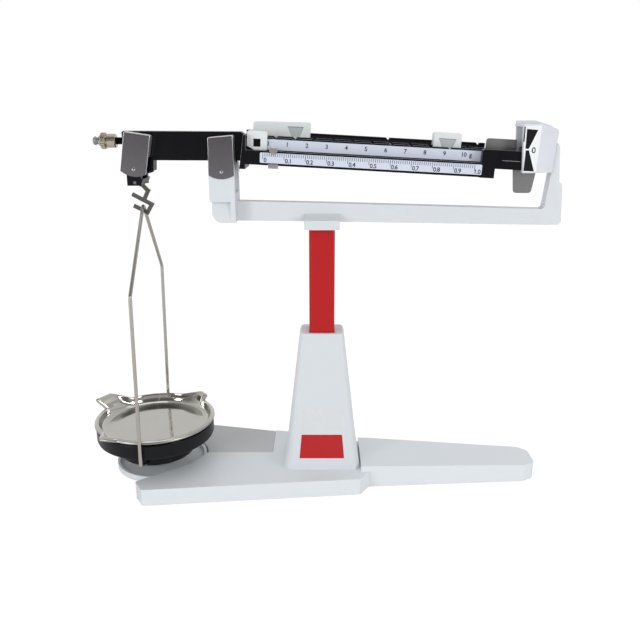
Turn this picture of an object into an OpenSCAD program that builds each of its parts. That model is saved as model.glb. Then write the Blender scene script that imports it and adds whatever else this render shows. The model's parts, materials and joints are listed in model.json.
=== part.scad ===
// Quadruple beam balance: a cast base, a post with a bracket, and a knife-edge beam
// that carries four rails with their poises on one side and a hanging pan on the other.
// The post's axis is x = 0, y = 0 while the pieces are drawn, and the table is z = 0.

/* [Base] */
// Thickness of the base casting
base_t = 14.2; // [10:0.1:20]
// Height that the rubber feet hold the casting off the table
foot_gap = 0.8; // [0.4:0.1:2]
// Reach of the front foot to the left of the post
foot_left = 142.5; // [130:0.5:150]
// Reach of the front foot's left end in front of the post
foot_front = 55; // [50:0.5:60]
// Reach of the front foot to the right of the post
foot_right = 31.2; // [28:0.2:36]
// Reach of the front foot's right end in front of the post
foot_front_right = 38.1; // [35:0.1:42]
// Length of the corner cut off the front foot's ends
foot_chamfer = 8; // [4:0.2:11]
// Reach of the right arm
arm_right = 180; // [170:1:190]
// Half width of the right arm at the pedestal
arm_root_half = 25.2; // [22:0.1:28]
// Half width of the right arm at its end
arm_tip_half = 16.4; // [12:0.1:20]
// Height of the right arm's top at the pedestal
arm_root_top = 19.7; // [17:0.1:22]
// Height of the right arm's top at its end
arm_tip_top = 16; // [12:0.1:18]
// Reach of the rear arm to the left of the post
rear_arm_left = 137; // [125:1:145]
// Reach of the rear arm's left end behind the post
rear_arm_back = 69.8; // [60:0.1:75]
// Reach of the rear arm's right end behind the post
rear_arm_root = 47.9; // [40:0.1:52]
// Front edge of the panel well behind the post
panel_front = 7.3; // [4:0.1:12]
// Depth of the panel well
panel_well = 1.2; // [0.8:0.1:2]
// Thickness of the grey panel
panel_t = 0.8; // [0.5:0.1:1]
// Radius of the round pan platform
platform_r = 37.6; // [34:0.2:42]
// Width of the platform's rim
platform_rim = 2; // [1:0.1:3]
// Depth of the platform's recess
platform_recess = 2.5; // [1:0.1:3.5]
// Thickness of the platform's disc
platform_t = 5; // [4:0.1:8]
// Radius of a rubber foot
rubber_r = 6; // [4:0.1:8]

/* [Pedestal and post] */
// Half width of the pedestal at its foot
pedestal_foot_half = 32; // [28:0.1:36]
// Half depth of the pedestal at its foot
pedestal_foot_deep = 23.6; // [20:0.1:26]
// Half width of the pedestal at its top
pedestal_top_half = 17.9; // [16:0.1:20]
// Half depth of the pedestal at its top
pedestal_top_deep = 14; // [13:0.1:16]
// Height of the pedestal's top above the table
pedestal_top = 130.6; // [110:0.2:150]
// Side of the square post
post_side = 20; // [16:0.1:22]
// Wall of the post's tube
post_wall = 2; // [1:0.1:4]
// Depth of the post's seat in the pedestal
post_seat = 45; // [30:1:80]

/* [Bracket] */
// Height of the boss's underside above the table
boss_z = 214; // [180:0.5:230]
// Half width of the boss
boss_half = 13.4; // [12.8:0.1:16]
// Half depth of the boss
boss_deep = 15.5; // [13.5:0.1:18]
// Height of the boss's upright sides
boss_h = 7; // [5:0.1:9]
// Half thickness of the bracket's arm
bracket_half = 5; // [3.5:0.1:6]
// Half depth of the fork under the fulcrum
fork_half = 16; // [14:0.1:18]
// Half width of the slot between the fork's cheeks
fork_slot_half = 9.5; // [7.5:0.1:9.8]
// Half width of the fork from side to side
fork_wide = 9.5; // [8:0.1:11]
// Height of the fork's cheeks above the knife edge
cheek_rise = 4.8; // [3:0.1:6]
// Reach of the right upright from the post
upright_right = 181; // [175:0.5:188]

/* [Fulcrum] */
// Distance of the fulcrum's knife edge to the left of the post
fulcrum_left = 74; // [70:0.5:80]
// Height of the knife edge above the boss's underside
fulcrum_rise = 43.2; // [40:0.1:48]
// Distance from the fulcrum's knife edge to the pan's
lever_arm = 65.6; // [60:0.1:70]
// Height of the pan's knife edge over the fulcrum's
pan_edge_rise = 1.5; // [0:0.1:3]
// Half angle of a knife edge
knife_angle = 30; // [20:1:35]
// Half angle of a bearing's groove
groove_angle = 50; // [46:1:60]
// Gap left between a knife edge and its bearing
edge_gap = 0.2; // [0.1:0.05:0.4]
// Half width of a cover plate
cover_half = 9.4; // [8.5:0.1:10]
// Height of a cover plate above its knife edge
cover_rise = 26.2; // [22:0.1:28]
// Drop of a cover plate's round end below its knife edge
cover_drop = 5.2; // [4:0.1:6]
// Thickness of a cover plate
cover_t = 1; // [0.5:0.1:1.5]
// Lean of the pan end's covers
cover_lean = 8.8; // [0:0.2:10]

/* [Beam] */
// Slope of the rails, down to the right, with the beam at rest
rail_tilt = 3.12; // [2:0.02:4]
// Half thickness of the beam's left bar
bar_half = 5; // [3:0.1:5.5]
// Height of the left bar
bar_h = 21.1; // [16:0.1:24]
// Height of the left bar's top above the fulcrum's edge
bar_top = 28.5; // [26:0.1:30]
// Reach of the left bar to the left of the fulcrum
bar_reach = 74.3; // [72:0.1:80]
// Thickness of a notched rail
rail_t = 3; // [2:0.1:3.4]
// Thickness of the front rail
front_rail_t = 2.5; // [1.5:0.1:3]
// Lower edge of the rails above the fulcrum's edge
rail_low = 6.65; // [5:0.05:9]
// Top of the one-gram rail above the fulcrum's edge
top_1 = 17; // [15:0.1:18]
// Top of the ten-gram rail
top_10 = 26.3; // [24:0.1:27]
// Top of the hundred-gram rail
top_100 = 27.1; // [25:0.1:28]
// Top of the two-hundred-gram rail
top_200 = 30.2; // [28:0.1:32]
// Front face of the one-gram rail
face_1 = -17; // [-19:0.1:-16.8]
// Front face of the ten-gram rail
face_10 = -9; // [-9.2:0.1:-8.6]
// Front face of the hundred-gram rail
face_100 = 1; // [0.8:0.1:1.4]
// Front face of the two-hundred-gram rail
face_200 = 11; // [10.8:0.1:12]
// Start of the rails from the fulcrum
rail_start = 15; // [13:0.1:17]
// Left face of the block that joins the rails' right ends
end_block = 190; // [186:0.5:191]
// Right face of that block
beam_end = 200.4; // [197:0.1:203]
// Length of the pointer past the block
pointer_len = 21.6; // [18:0.1:24]
// Spacing of the notches of the ten-gram and hundred-gram rails
notch_pitch = 14.4; // [13:0.1:14.5]
// First notch of the ten-gram rail
notch_10 = 23.2; // [21:0.1:27]
// First notch of the hundred-gram rail
notch_100 = 37.9; // [36:0.1:38.5]
// First notch of the two-hundred-gram rail
notch_200 = 53.9; // [50:0.1:55]
// Spacing of the notches of the two-hundred-gram rail
notch_pitch_200 = 68.9; // [60:0.1:69.2]
// Depth of a notch
notch_deep = 1.5; // [0.8:0.1:2]
// Thickness of a scale plate
plate_t = 0.3; // [0.2:0.05:0.4]

/* [Poises] */
// Gap between a poise and its rail
poise_gap = 0.3; // [0.2:0.05:0.5]
// Width of the ten-gram poise
poise_10_w = 14.8; // [12:0.1:16]
// Width of the hundred-gram poise
poise_100_w = 22.3; // [18:0.1:24]
// Width of the two-hundred-gram poise
poise_200_w = 43.4; // [36:0.1:46]
// Wall of a poise beside its rail
poise_wall = 2.2; // [1.4:0.1:2.3]
// Width of the one-gram rider
rider_w = 7.2; // [5:0.1:9]
// Thickness of the rider's strip
rider_t = 0.9; // [0.6:0.05:1]

/* [Index] */
// Left edge of the index housing from the post
index_left = 146.4; // [145.5:0.1:148]
// Right edge of the housing's front
index_right = 174.6; // [172:0.1:177]
// Front face of the housing
index_front = -12; // [-13:0.1:-11.8]
// Rear face of the housing
index_back = 10; // [9.5:0.1:12]
// Wall of the housing
index_wall = 2; // [1.4:0.1:2.2]
// Bottom of the housing above the fulcrum's edge
index_low = -1.2; // [-2:0.1:-0.8]
// Top of the housing above the fulcrum's edge
index_top = 33.8; // [33:0.1:36]
// Thickness of the damping vane
vane_t = 1.2; // [0.8:0.1:1.6]

/* [Zero adjuster] */
// Height of the adjuster's axis above the fulcrum's edge
adjuster_rise = 21.5; // [18:0.1:23]
// Radius of the threaded rod
rod_r = 2.6; // [2:0.1:3]
// Radius of the knurled knob
knob_r = 6; // [5:0.1:7]
// Width of the knurled knob
knob_w = 6.2; // [4:0.1:8]
// Radius of the lock sleeve
sleeve_r = 5.1; // [4:0.1:6]
// Width of the lock sleeve
sleeve_w = 6.4; // [4:0.1:8]
// Gap between the bar's end and the sleeve
sleeve_gap = 5.6; // [4:0.1:7]

/* [Pan] */
// Radius of the pan at its rim
pan_r = 49.4; // [44:0.1:50]
// Height of the pan's rim above the table
pan_rim_z = 54; // [51:0.1:58]
// Height of the pan's wall
pan_h = 9; // [7:0.1:10]
// Thickness of the pan's sheet
pan_t = 0.9; // [0.6:0.1:1.4]
// Drop of the bow's axis under the hook from the pan's knife edge
bow_drop = 28.7; // [28:0.1:28.8]
// Lean of the bow
bow_lean = 1.2; // [0:0.1:2]
// Radius of the bow's wire
bow_wire_r = 1; // [0.8:0.05:1.2]
// Gap between the pan's rim and the middle of the bow's wire
bow_gap = 2.6; // [1.6:0.1:5]
// Spread of each of the bow's upper legs from the vertical
bow_spread = 40.9; // [30:0.1:50]
// Radius of the holder's drum
drum_r = 31; // [26:0.2:36]
// Height of the holder's underside above the table
holder_z = 22.7; // [20:0.1:26]

/* [Hidden] */
$fn = 64;

base_top = foot_gap + base_t;
platform_x = -137.7;
platform_y = 2.6;
well_floor = base_top - panel_well;
seat_gap = 0.15;
fit = 0.05;

fulcrum_x = -fulcrum_left;
fulcrum_z = boss_z + fulcrum_rise;
pan_edge_x = fulcrum_x - lever_arm;
pan_edge_z = fulcrum_z + pan_edge_rise;

// Points of a circular arc that rounds the corner p between a and b
function unit(v) = v / norm(v);
function corner(a, p, b, r, steps = 5) =
    r <= 0 ? [p] :
    let (
        u = unit(a - p),
        v = unit(b - p),
        half = acos(u * v) / 2,
        c = p + unit(u + v) * r / sin(half),
        from = p + u * r / tan(half) - c,
        to = p + v * r / tan(half) - c,
        turn = atan2(from[0] * to[1] - from[1] * to[0], from * to),
        start = atan2(from[1], from[0])
    )
    [for (i = [0:steps]) c + r * [cos(start + turn * i / steps), sin(start + turn * i / steps)]];

// An outline whose corners are given as [x, y, radius]
function rounded(p) = [
    for (i = [0:len(p) - 1])
        let (
            a = p[(i + len(p) - 1) % len(p)],
            b = p[(i + 1) % len(p)],
            q = p[i]
        )
        each corner([a[0], a[1]], [q[0], q[1]], [b[0], b[1]], q[2])
];

// A side view (x across, z up) given thickness from y0 to y1
module slab(y0, y1) {
    translate([0, y1, 0]) rotate([90, 0, 0]) linear_extrude(y1 - y0) children();
}

module pair_y() {
    children();
    mirror([0, 1, 0]) children();
}

// A rectangle with round corners, centred
module round_rect(half_x, half_y, r) {
    square([2 * half_x, 2 * (half_y - r)], center = true);
    square([2 * (half_x - r), 2 * half_y], center = true);
    for (sx = [-1, 1], sy = [-1, 1]) translate([sx * (half_x - r), sy * (half_y - r)]) circle(r, $fn = 32);
}

// The rails' own frame: x along the rails, z square to them, from the fulcrum's edge
module in_rails() {
    translate([fulcrum_x, 0, fulcrum_z]) rotate([0, rail_tilt, 0]) children();
}

module at_fulcrum() {
    translate([fulcrum_x, 0, fulcrum_z]) children();
}

module at_pan_edge() {
    translate([pan_edge_x, 0, pan_edge_z]) children();
}

// Base

panel_right = -42.6;
rear_arm_slope_x = -41.6;
arm_start = pedestal_foot_half + 0.5;
slit_w = 1.5;
slit_low = 6;
// The foot's left corner, and the bend of its rear edge where it runs over the platform
foot_corner = [-foot_left - foot_chamfer, 12.8 - foot_front];
foot_edge = [-111, -12.6];
foot_edge_end = [-100.5, 4.6];

module front_foot_outline() {
    polygon(rounded([
        [-foot_left, -foot_front, 2],
        [foot_right, -foot_front_right, 1.5],
        [foot_right + foot_chamfer, -arm_root_half - 0.9, 2],
        [arm_root_half + 14, arm_root_half, 2],
        [-rear_arm_slope_x - 75, rear_arm_root, 0],
        [rear_arm_slope_x, rear_arm_root + 1.2, 0],
        [-rear_arm_left, rear_arm_back, 5],
        [-rear_arm_left + 3, platform_r - 6, 0],
        [foot_edge[0], foot_edge[1], 0],
        [foot_corner[0], foot_corner[1], 2]
    ]));
}

module right_arm_outline() {
    polygon(rounded([
        [arm_start, -arm_root_half - 1.2, 0],
        [arm_right - 10, -arm_tip_half - 0.9, 5],
        [arm_right, -arm_tip_half + 5, 5],
        [arm_right, arm_tip_half - 7, 5],
        [arm_right - 8, arm_tip_half - 1.3, 5],
        [arm_start, arm_root_half + 0.6, 0]
    ]));
}

module right_arm() {
    intersection() {
        translate([0, 0, foot_gap]) linear_extrude(arm_root_top) right_arm_outline();
        slab(-pedestal_foot_half, pedestal_foot_half) polygon([
            [arm_start, foot_gap],
            [arm_right, foot_gap],
            [arm_right, arm_tip_top - 0.3],
            [arm_root_half + 19, arm_root_top],
            [arm_start, arm_root_top]
        ]);
    }
}

foot_places = [
    [-132, -44], [24, -29], [-118, 52], [arm_right - 16, 0]
];
screw_places = [for (sx = [-1, 1], sy = [-1, 1]) [sx * 20, sy * 13]];
screw_r = 2;
screw_head_r = 3.6;
screw_head_h = 3;
rubber_h = 2;

module platform_disc(r, z0, z1) {
    translate([platform_x, platform_y, z0]) cylinder(r = r, h = z1 - z0, $fn = 128);
}

// The platform's recess, which the foot's top runs over
module platform_hollow() {
    difference() {
        platform_disc(platform_r - platform_rim, base_top - platform_recess, base_top + 1);
        linear_extrude(base_top + 2) polygon([
            foot_corner,
            foot_edge,
            foot_edge_end,
            [foot_edge_end[0], -foot_front - 5],
            [foot_corner[0], -foot_front - 5]
        ]);
    }
}

// Narrow gap between the platform and the panel
module platform_slit() {
    intersection() {
        difference() {
            platform_disc(platform_r + slit_w, slit_low, base_top + 1);
            platform_disc(platform_r, slit_low - 1, base_top + 2);
        }
        translate([platform_x, panel_front - 1, 0]) cube([2 * platform_r, 2 * platform_r, base_top + 3]);
    }
}

module base_casting() {
    color("#dfe6ea") difference() {
        union() {
            translate([0, 0, foot_gap]) linear_extrude(base_t) front_foot_outline();
            right_arm();
            platform_disc(platform_r, base_top - platform_t, base_top);
        }
        platform_hollow();
        platform_slit();
        // The panel's well, open at the rear edge and kept clear of the platform
        difference() {
            translate([0, 0, well_floor]) linear_extrude(panel_well + 1) polygon([
                [-rear_arm_left - 5, panel_front],
                [panel_right, panel_front],
                [panel_right, rear_arm_back + 5],
                [-rear_arm_left - 5, rear_arm_back + 5]
            ]);
            platform_disc(platform_r, 0, base_top + 2);
        }
        for (p = foot_places) translate([p[0], p[1], foot_gap - 1])
            cylinder(r = rubber_r + seat_gap, h = rubber_h - foot_gap + 1 + 0.01);
        for (p = screw_places) translate([p[0], p[1], 0]) {
            cylinder(r = screw_head_r + seat_gap, h = foot_gap + screw_head_h + 1);
            cylinder(r = screw_r + seat_gap, h = base_top + 8);
        }
    }
}

module base_panel() {
    inset = 0.3;
    color("#8b8f93") translate([0, 0, well_floor]) linear_extrude(panel_t) difference() {
        intersection() {
            polygon([
                [-rear_arm_left + 3, panel_front + inset],
                [panel_right - inset, panel_front + inset],
                [panel_right - inset, rear_arm_back],
                [-rear_arm_left + 3, rear_arm_back]
            ]);
            translate([0, -2 * inset]) front_foot_outline();
        }
        translate([platform_x, platform_y]) circle(platform_r + slit_w + inset, $fn = 128);
    }
}

module rubber_feet() {
    color("#26282a") for (p = foot_places) translate([p[0], p[1], 0]) {
        cylinder(r1 = rubber_r - 0.6, r2 = rubber_r, h = foot_gap - 0.1);
        translate([0, 0, foot_gap - 0.1]) cylinder(r = rubber_r, h = rubber_h - foot_gap + 0.1);
    }
}

module base_screws() {
    head_z = foot_gap + 1;
    color("#9aa0a6") for (p = screw_places) translate([p[0], p[1], head_z]) {
        difference() {
            cylinder(r = screw_head_r, h = screw_head_h);
            translate([0, 0, -1]) cylinder(r = 2, h = 2.6, $fn = 6);
        }
        translate([0, 0, screw_head_h - 0.1]) cylinder(r = screw_r, h = base_top + 9 - head_z - screw_head_h);
    }
}

// Pedestal and post

post_corner = 2;
pedestal_seat_z = base_top;

module pedestal() {
    layer = 0.2;
    color("#dfe6ea") difference() {
        union() {
            hull() {
                translate([0, 0, pedestal_seat_z + 12]) linear_extrude(layer)
                    round_rect(pedestal_foot_half - 2.4, pedestal_foot_deep - 1.4, 7);
                translate([0, 0, pedestal_top - 3]) linear_extrude(layer)
                    round_rect(pedestal_top_half, pedestal_top_deep, 4.5);
                translate([0, 0, pedestal_top - layer]) linear_extrude(layer)
                    round_rect(pedestal_top_half - 1.2, pedestal_top_deep - 1.2, 3.6);
            }
            hull() {
                translate([0, 0, pedestal_seat_z]) linear_extrude(layer)
                    round_rect(pedestal_foot_half, pedestal_foot_deep, 7);
                translate([0, 0, pedestal_seat_z + 12]) linear_extrude(layer)
                    round_rect(pedestal_foot_half - 2.4, pedestal_foot_deep - 1.4, 7);
            }
        }
        translate([0, 0, pedestal_top - post_seat]) linear_extrude(post_seat + 1)
            square(post_side + 2 * seat_gap, center = true);
        for (p = screw_places) translate([p[0], p[1], 0])
            cylinder(r = screw_r + seat_gap, h = base_top + 9.3);
    }
}

post_low = pedestal_top - post_seat;
post_high = boss_z + 8;

module post() {
    color("#c5232b") translate([0, 0, post_low]) linear_extrude(post_high - post_low) difference() {
        round_rect(post_side / 2, post_side / 2, post_corner);
        round_rect(post_side / 2 - post_wall, post_side / 2 - post_wall, post_corner / 2);
    }
}

set_screw_r = 2.2;
set_screw_z = boss_z + 3.6;

module post_screws() {
    color("#9aa0a6") for (sx = [-1, 1]) translate([sx * 5, boss_deep - 0.4, set_screw_z]) rotate([90, 0, 0])
        difference() {
            cylinder(r = set_screw_r, h = boss_deep - 0.4 - post_side / 2);
            translate([0, 0, -0.1]) cylinder(r = 1.2, h = 1.8, $fn = 6);
        }
}

// Bracket

arm_low_left = boss_z + 5.8;
arm_low = boss_z + 4.9;
arm_low_right = boss_z + 2.3;
arm_high_left = boss_z + 20.7;
arm_high = boss_z + 19.1;
arm_high_right = boss_z + 14.4;
fork_x0 = fulcrum_x - fork_wide - 0.3;
fork_x1 = fulcrum_x + fork_wide - 0.3;
fork_top = fulcrum_z + cheek_rise;
fork_step = boss_z + 21;
upright_inner = upright_right - 14.5;
upright_top = boss_z + 63;
upright_half = 5.5;
bearing_half = 3.5;
bearing_low = -6.2;
bearing_high = 2.4;
bearing_in = 10.4;
bearing_out = 15.4;

module bracket_arm() {
    slab(-bracket_half, bracket_half) polygon([
        [fork_x0 + 8, arm_low_left],
        [0, arm_low],
        [upright_inner, arm_low_right],
        [upright_inner, arm_high_right],
        [0, arm_high],
        [fork_x0 + 8, arm_high_left]
    ]);
}

module right_upright() {
    slab(-upright_half, upright_half) polygon(rounded([
        [upright_inner - 6, arm_low_right + 0.1, 0],
        [upright_right - 0.6, arm_low_right, 3],
        [upright_right, boss_z + 33, 0.5],
        [upright_right - 1.8, boss_z + 35, 0.5],
        [upright_right - 2, upright_top, 3],
        [upright_inner + 5, upright_top, 1],
        [upright_inner + 0.4, arm_high_right + 5, 0],
        [upright_inner - 0.2, arm_high_right + 1, 0],
        [upright_inner - 3, arm_high_right - 0.5, 0],
        [upright_inner - 6, arm_high_right - 0.5, 0]
    ]));
}

module boss() {
    difference() {
        union() {
            translate([0, 0, boss_z]) linear_extrude(boss_h) round_rect(boss_half, boss_deep, 1.5);
            intersection() {
                translate([-boss_half, 0, 0]) rotate([90, 0, 90]) linear_extrude(2 * boss_half) polygon([
                    [-boss_deep, boss_z + boss_h - 0.01],
                    [boss_deep, boss_z + boss_h - 0.01],
                    [bracket_half, boss_z + boss_h + 4],
                    [-bracket_half, boss_z + boss_h + 4]
                ]);
                translate([0, 0, boss_z]) linear_extrude(30) round_rect(boss_half, boss_deep, 1.5);
            }
        }
        translate([0, 0, boss_z - 1]) linear_extrude(post_high - boss_z + 1)
            square(post_side + 2 * seat_gap, center = true);
        for (sx = [-1, 1]) translate([sx * 5, boss_deep + 1, set_screw_z]) rotate([90, 0, 0])
            cylinder(r = set_screw_r + fit, h = boss_deep);
    }
}

module fork() {
    difference() {
        union() {
            slab(-fork_half, fork_half) polygon([
                [fork_x0, fork_step],
                [fork_x1, fork_step],
                [fork_x1, fork_top],
                [fork_x0, fork_top]
            ]);
            slab(-fork_half, fork_half) polygon(rounded([
                [fork_x0 + 1.3, boss_z + 5.6, 7.5],
                [fork_x1, boss_z + 5.6, 0],
                [fork_x1, fork_step, 0],
                [fork_x0 + 1.3, fork_step, 0]
            ]));
        }
        // Slot between the cheeks, for the beam's lug
        slab(-fork_slot_half, fork_slot_half) polygon([
            [fork_x0 - 1, fork_step + 6],
            [fork_x1 + 1, fork_step + 6],
            [fork_x1 + 1, fork_top + 1],
            [fork_x0 - 1, fork_top + 1]
        ]);
        // Wedge pocket on the front and rear of the fork's foot
        pair_y() translate([fork_x0, 0, 0]) rotate([90, 0, 90])
            linear_extrude(fork_x1 - fork_x0 - 3.6) polygon([
                [-fork_half - 1, boss_z + 7],
                [-fork_half, boss_z + 7],
                [-fork_half + 3, fork_step],
                [-fork_half - 1, fork_step]
            ]);
        // Seats of the bearings, open at the top
        pair_y() at_fulcrum() slab(bearing_in, bearing_out) polygon([
            [-bearing_half - seat_gap, bearing_low],
            [bearing_half + seat_gap, bearing_low],
            [bearing_half + seat_gap, cheek_rise + 1],
            [-bearing_half - seat_gap, cheek_rise + 1]
        ]);
        // Way for the knife through the inner skin of each cheek
        at_fulcrum() slab(-bearing_in - 0.1, bearing_in + 0.1) polygon([
            [0, -1.2],
            [bearing_half + seat_gap, 0.6],
            [bearing_half + seat_gap, cheek_rise + 1],
            [-bearing_half - seat_gap, cheek_rise + 1],
            [-bearing_half - seat_gap, 0.6]
        ]);
    }
}

module bracket() {
    color("#dfe6ea") {
        difference() {
            bracket_arm();
            translate([0, 0, boss_z - 1]) linear_extrude(post_high - boss_z + 1)
                square(post_side + 2 * seat_gap, center = true);
        }
        right_upright();
        boss();
        fork();
    }
}

// Fulcrum

module groove_block(half, low, high, y0, y1) {
    deep = high + edge_gap;
    slab(y0, y1) polygon([
        [-half, low],
        [half, low],
        [half, high],
        [deep * tan(groove_angle), high],
        [0, -edge_gap],
        [-deep * tan(groove_angle), high],
        [-half, high]
    ]);
}

module fulcrum_bearings() {
    color("#8c3b34") at_fulcrum() pair_y()
        groove_block(bearing_half, bearing_low, bearing_high, bearing_in + seat_gap, bearing_out - seat_gap);
}

knife_h = 5.6;
pan_knife_h = 3.8;

module knife(h, y1) {
    slab(-y1, y1) polygon([
        [0, 0],
        [h * tan(knife_angle), h],
        [-h * tan(knife_angle), h]
    ]);
}

module fulcrum_knife() {
    color("#b9bec3") at_fulcrum() knife(knife_h, bearing_out - 0.4);
}

module pan_knife() {
    color("#b9bec3") at_pan_edge() mirror([0, 0, 1]) knife(pan_knife_h, 10.6);
}

cover_arc_r = 17;

module cover_outline(top_slope) {
    polygon(rounded([
        [-cover_half, -cover_drop + 2.8, 0],
        [cover_half, -cover_drop + 2.8, 0],
        [cover_half, cover_rise, 1.5],
        [-cover_half, cover_rise - top_slope, 1.5]
    ]));
    intersection() {
        translate([0, cover_arc_r - cover_drop]) circle(cover_arc_r, $fn = 96);
        translate([-cover_half, -cover_drop]) square([2 * cover_half, 3]);
    }
}

// A stamped cover: a face plate with a flange turned in round its top and sides
module cover(y_in, y_flange, flange_low, top_slope) {
    slab(-y_in - cover_t, -y_in) cover_outline(top_slope);
    slab(-y_in - cover_t / 2, -y_flange) difference() {
        intersection() {
            cover_outline(top_slope);
            translate([-cover_half, flange_low]) square([2 * cover_half, cover_rise]);
        }
        polygon(rounded([
            [-cover_half + cover_t, flange_low - 1, 0],
            [cover_half - cover_t, flange_low - 1, 0],
            [cover_half - cover_t, cover_rise - cover_t, 0.8],
            [-cover_half + cover_t, cover_rise - top_slope - cover_t, 0.8]
        ]));
    }
    // The dimple that stops the knife from creeping endways
    translate([0, -y_in - cover_t, 0]) rotate([90, 0, 0]) cylinder(r1 = 1.4, r2 = 0.9, h = 0.4);
}

cover_y = fork_half + 0.2;
flange_y = bar_half + 1.3;
fulcrum_cover_slope = 1.6;

module fulcrum_cover_front() {
    color("#b4b8bc") at_fulcrum() cover(cover_y, flange_y, cheek_rise + 0.3, fulcrum_cover_slope);
}

module fulcrum_cover_rear() {
    color("#b4b8bc") mirror([0, 1, 0]) at_fulcrum()
        cover(cover_y, flange_y, cheek_rise + 0.3, fulcrum_cover_slope);
}

// Beam

lug_gap = 0.04;
pan_lug_half = 3.5;
pan_lug_low = -6;

module bar() {
    at_fulcrum() slab(-bar_half, bar_half) polygon([
        [-bar_reach, bar_top + 0.3 - bar_h],
        [rail_start + 1, bar_top - 0.1 - bar_h],
        [rail_start + 1.5, bar_top - 2],
        [rail_start - 1, bar_top - 0.2],
        [-bar_reach + 1, bar_top + 0.3],
        [-bar_reach, bar_top - 0.7]
    ]);
}

// Lug that holds the fulcrum's knife, and the lug that carries the pan's knife
module lugs() {
    at_fulcrum() slab(-bar_half, bar_half) polygon([
        [-6, bar_top - bar_h + 1],
        [-4.6, 1.6],
        [4.6, 1.6],
        [6, bar_top - bar_h + 1]
    ]);
    at_pan_edge() slab(-bar_half, bar_half) polygon([
        [-pan_lug_half - 1.5, bar_top - bar_h],
        [-pan_lug_half, pan_lug_low + 1],
        [-pan_lug_half + 1, pan_lug_low],
        [pan_lug_half, pan_lug_low],
        [pan_lug_half + 3.2, -1.2],
        [12, -2.7],
        [16.6, -1.6],
        [17.2, bar_top - bar_h]
    ]);
}

module cross_block() {
    in_rails() slab(face_1, face_200 + rail_t) polygon([
        [rail_start - 2, rail_low - 3.6],
        [rail_start + 2.4, rail_low - 3.6],
        [rail_start + 2.4, top_1 - 0.4],
        [rail_start + 2, bar_top - 1],
        [rail_start + 0.4, bar_top - 1]
    ]);
}

module rail(y, t, low, top, x1, notches) {
    in_rails() slab(y, y + t) difference() {
        translate([rail_start, low]) square([x1 - rail_start, top - low]);
        for (n = notches) polygon([
            [n - 1.4, top + 0.1],
            [n, top - notch_deep],
            [n + 0.7, top - notch_deep],
            [n + 1.5, top + 0.1]
        ]);
    }
}

notches_10 = [for (i = [0:10]) notch_10 + i * notch_pitch];
notches_100 = [for (i = [0:10]) notch_100 + i * notch_pitch];
notches_200 = [for (i = [0:2]) notch_200 + i * notch_pitch_200];
inner_block = end_block + 3.5;
rear_block_top = 20;
pointer_y = -9.3;
pointer_t = 1.2;
pointer_low = 12.7;
pointer_high = 26.5;

module end_blocks() {
    in_rails() {
        slab(face_1, -12) polygon([
            [end_block, rail_low - 0.35],
            [beam_end, rail_low - 0.35],
            [beam_end, top_10 + 0.5],
            [end_block + 1, top_10 + 0.5],
            [end_block, top_10 - 0.5]
        ]);
        slab(-12.01, 8) translate([inner_block, rail_low - 0.35])
            square([beam_end - inner_block, top_10 + 0.85 - rail_low]);
        slab(7.99, face_200 + rail_t) translate([inner_block, rail_low - 0.35])
            square([beam_end - inner_block, rear_block_top - rail_low]);
        slab(pointer_y, pointer_y + pointer_t) translate([beam_end - 1, pointer_low])
            square([pointer_len + 1, pointer_high - pointer_low]);
    }
}

vane_y = 0;

module beam_casting() {
    color("#1b1c20") difference() {
        union() {
            bar();
            lugs();
            cross_block();
            rail(face_1, front_rail_t, rail_low, top_1, end_block + 1, []);
            rail(face_10, rail_t, rail_low + 3, top_10, inner_block + 1, notches_10);
            rail(face_100, rail_t, rail_low + 3, top_100, inner_block + 1, notches_100);
            rail(face_200, rail_t, rail_low + 3, top_200, inner_block + 4, notches_200);
            end_blocks();
        }
        at_fulcrum() slab(-20, 20) polygon([
            [0, -lug_gap * 2],
            [knife_h * tan(knife_angle) + lug_gap * 2, knife_h + lug_gap],
            [-knife_h * tan(knife_angle) - lug_gap * 2, knife_h + lug_gap]
        ]);
        at_pan_edge() slab(-20, 20) polygon([
            [0, lug_gap * 2],
            [pan_knife_h * tan(knife_angle) + lug_gap * 2, -pan_knife_h - lug_gap],
            [-pan_knife_h * tan(knife_angle) - lug_gap * 2, -pan_knife_h - lug_gap]
        ]);
        // The vane's slot in the end block
        in_rails() slab(vane_y - lug_gap, vane_y + vane_t + lug_gap)
            translate([vane_left - lug_gap, vane_root_low - 0.3]) square([beam_end, vane_high]);
        translate([fulcrum_x - bar_reach - 1, 0, fulcrum_z + adjuster_rise]) rotate([0, 90, 0])
            cylinder(r = rod_r + fit, h = 1 + rod_seat);
    }
}

module scale_plate(face, x0, x1, low, high) {
    in_rails() slab(face - plate_t, face)
        polygon(rounded([[x0, low, 0.8], [x1, low, 0.8], [x1, high, 0.8], [x0, high, 0.8]]));
}

module scale_1g() {
    color("#e6edf5") scale_plate(face_1, 28, end_block - 1, 8.3, 15.7);
}

module scale_10g() {
    color("#e6edf5") scale_plate(face_10, 29, inner_block - 0.9, 17.4, 25);
}

module scale_100g() {
    color("#e6edf5") scale_plate(face_100, 29, inner_block - 0.9, 18, 25.4);
}

module scale_200g() {
    color("#e6edf5") scale_plate(face_200, 29, inner_block - 0.9, 21, 28.4);
}

vane_left = 195.7;
vane_step = 218.7;
vane_right = 236.2;
vane_high = 34.2;
vane_root_low = 13;

module damping_vane() {
    color("#a3a6a8") in_rails() slab(vane_y, vane_y + vane_t) polygon(rounded([
        [vane_left, vane_root_low, 1],
        [vane_step - 0.3, vane_root_low - 0.8, 0],
        [vane_step + 2.2, -5.2, 2.5],
        [vane_right - 1.9, -4.5, 2.5],
        [vane_right, vane_root_low, 1],
        [vane_right, 20, 2],
        [vane_step + 1.5, 20, 0],
        [vane_step, vane_high - 8, 0],
        [vane_step, vane_high, 1],
        [vane_left, vane_high, 2]
    ]));
}

// Zero adjuster

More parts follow.
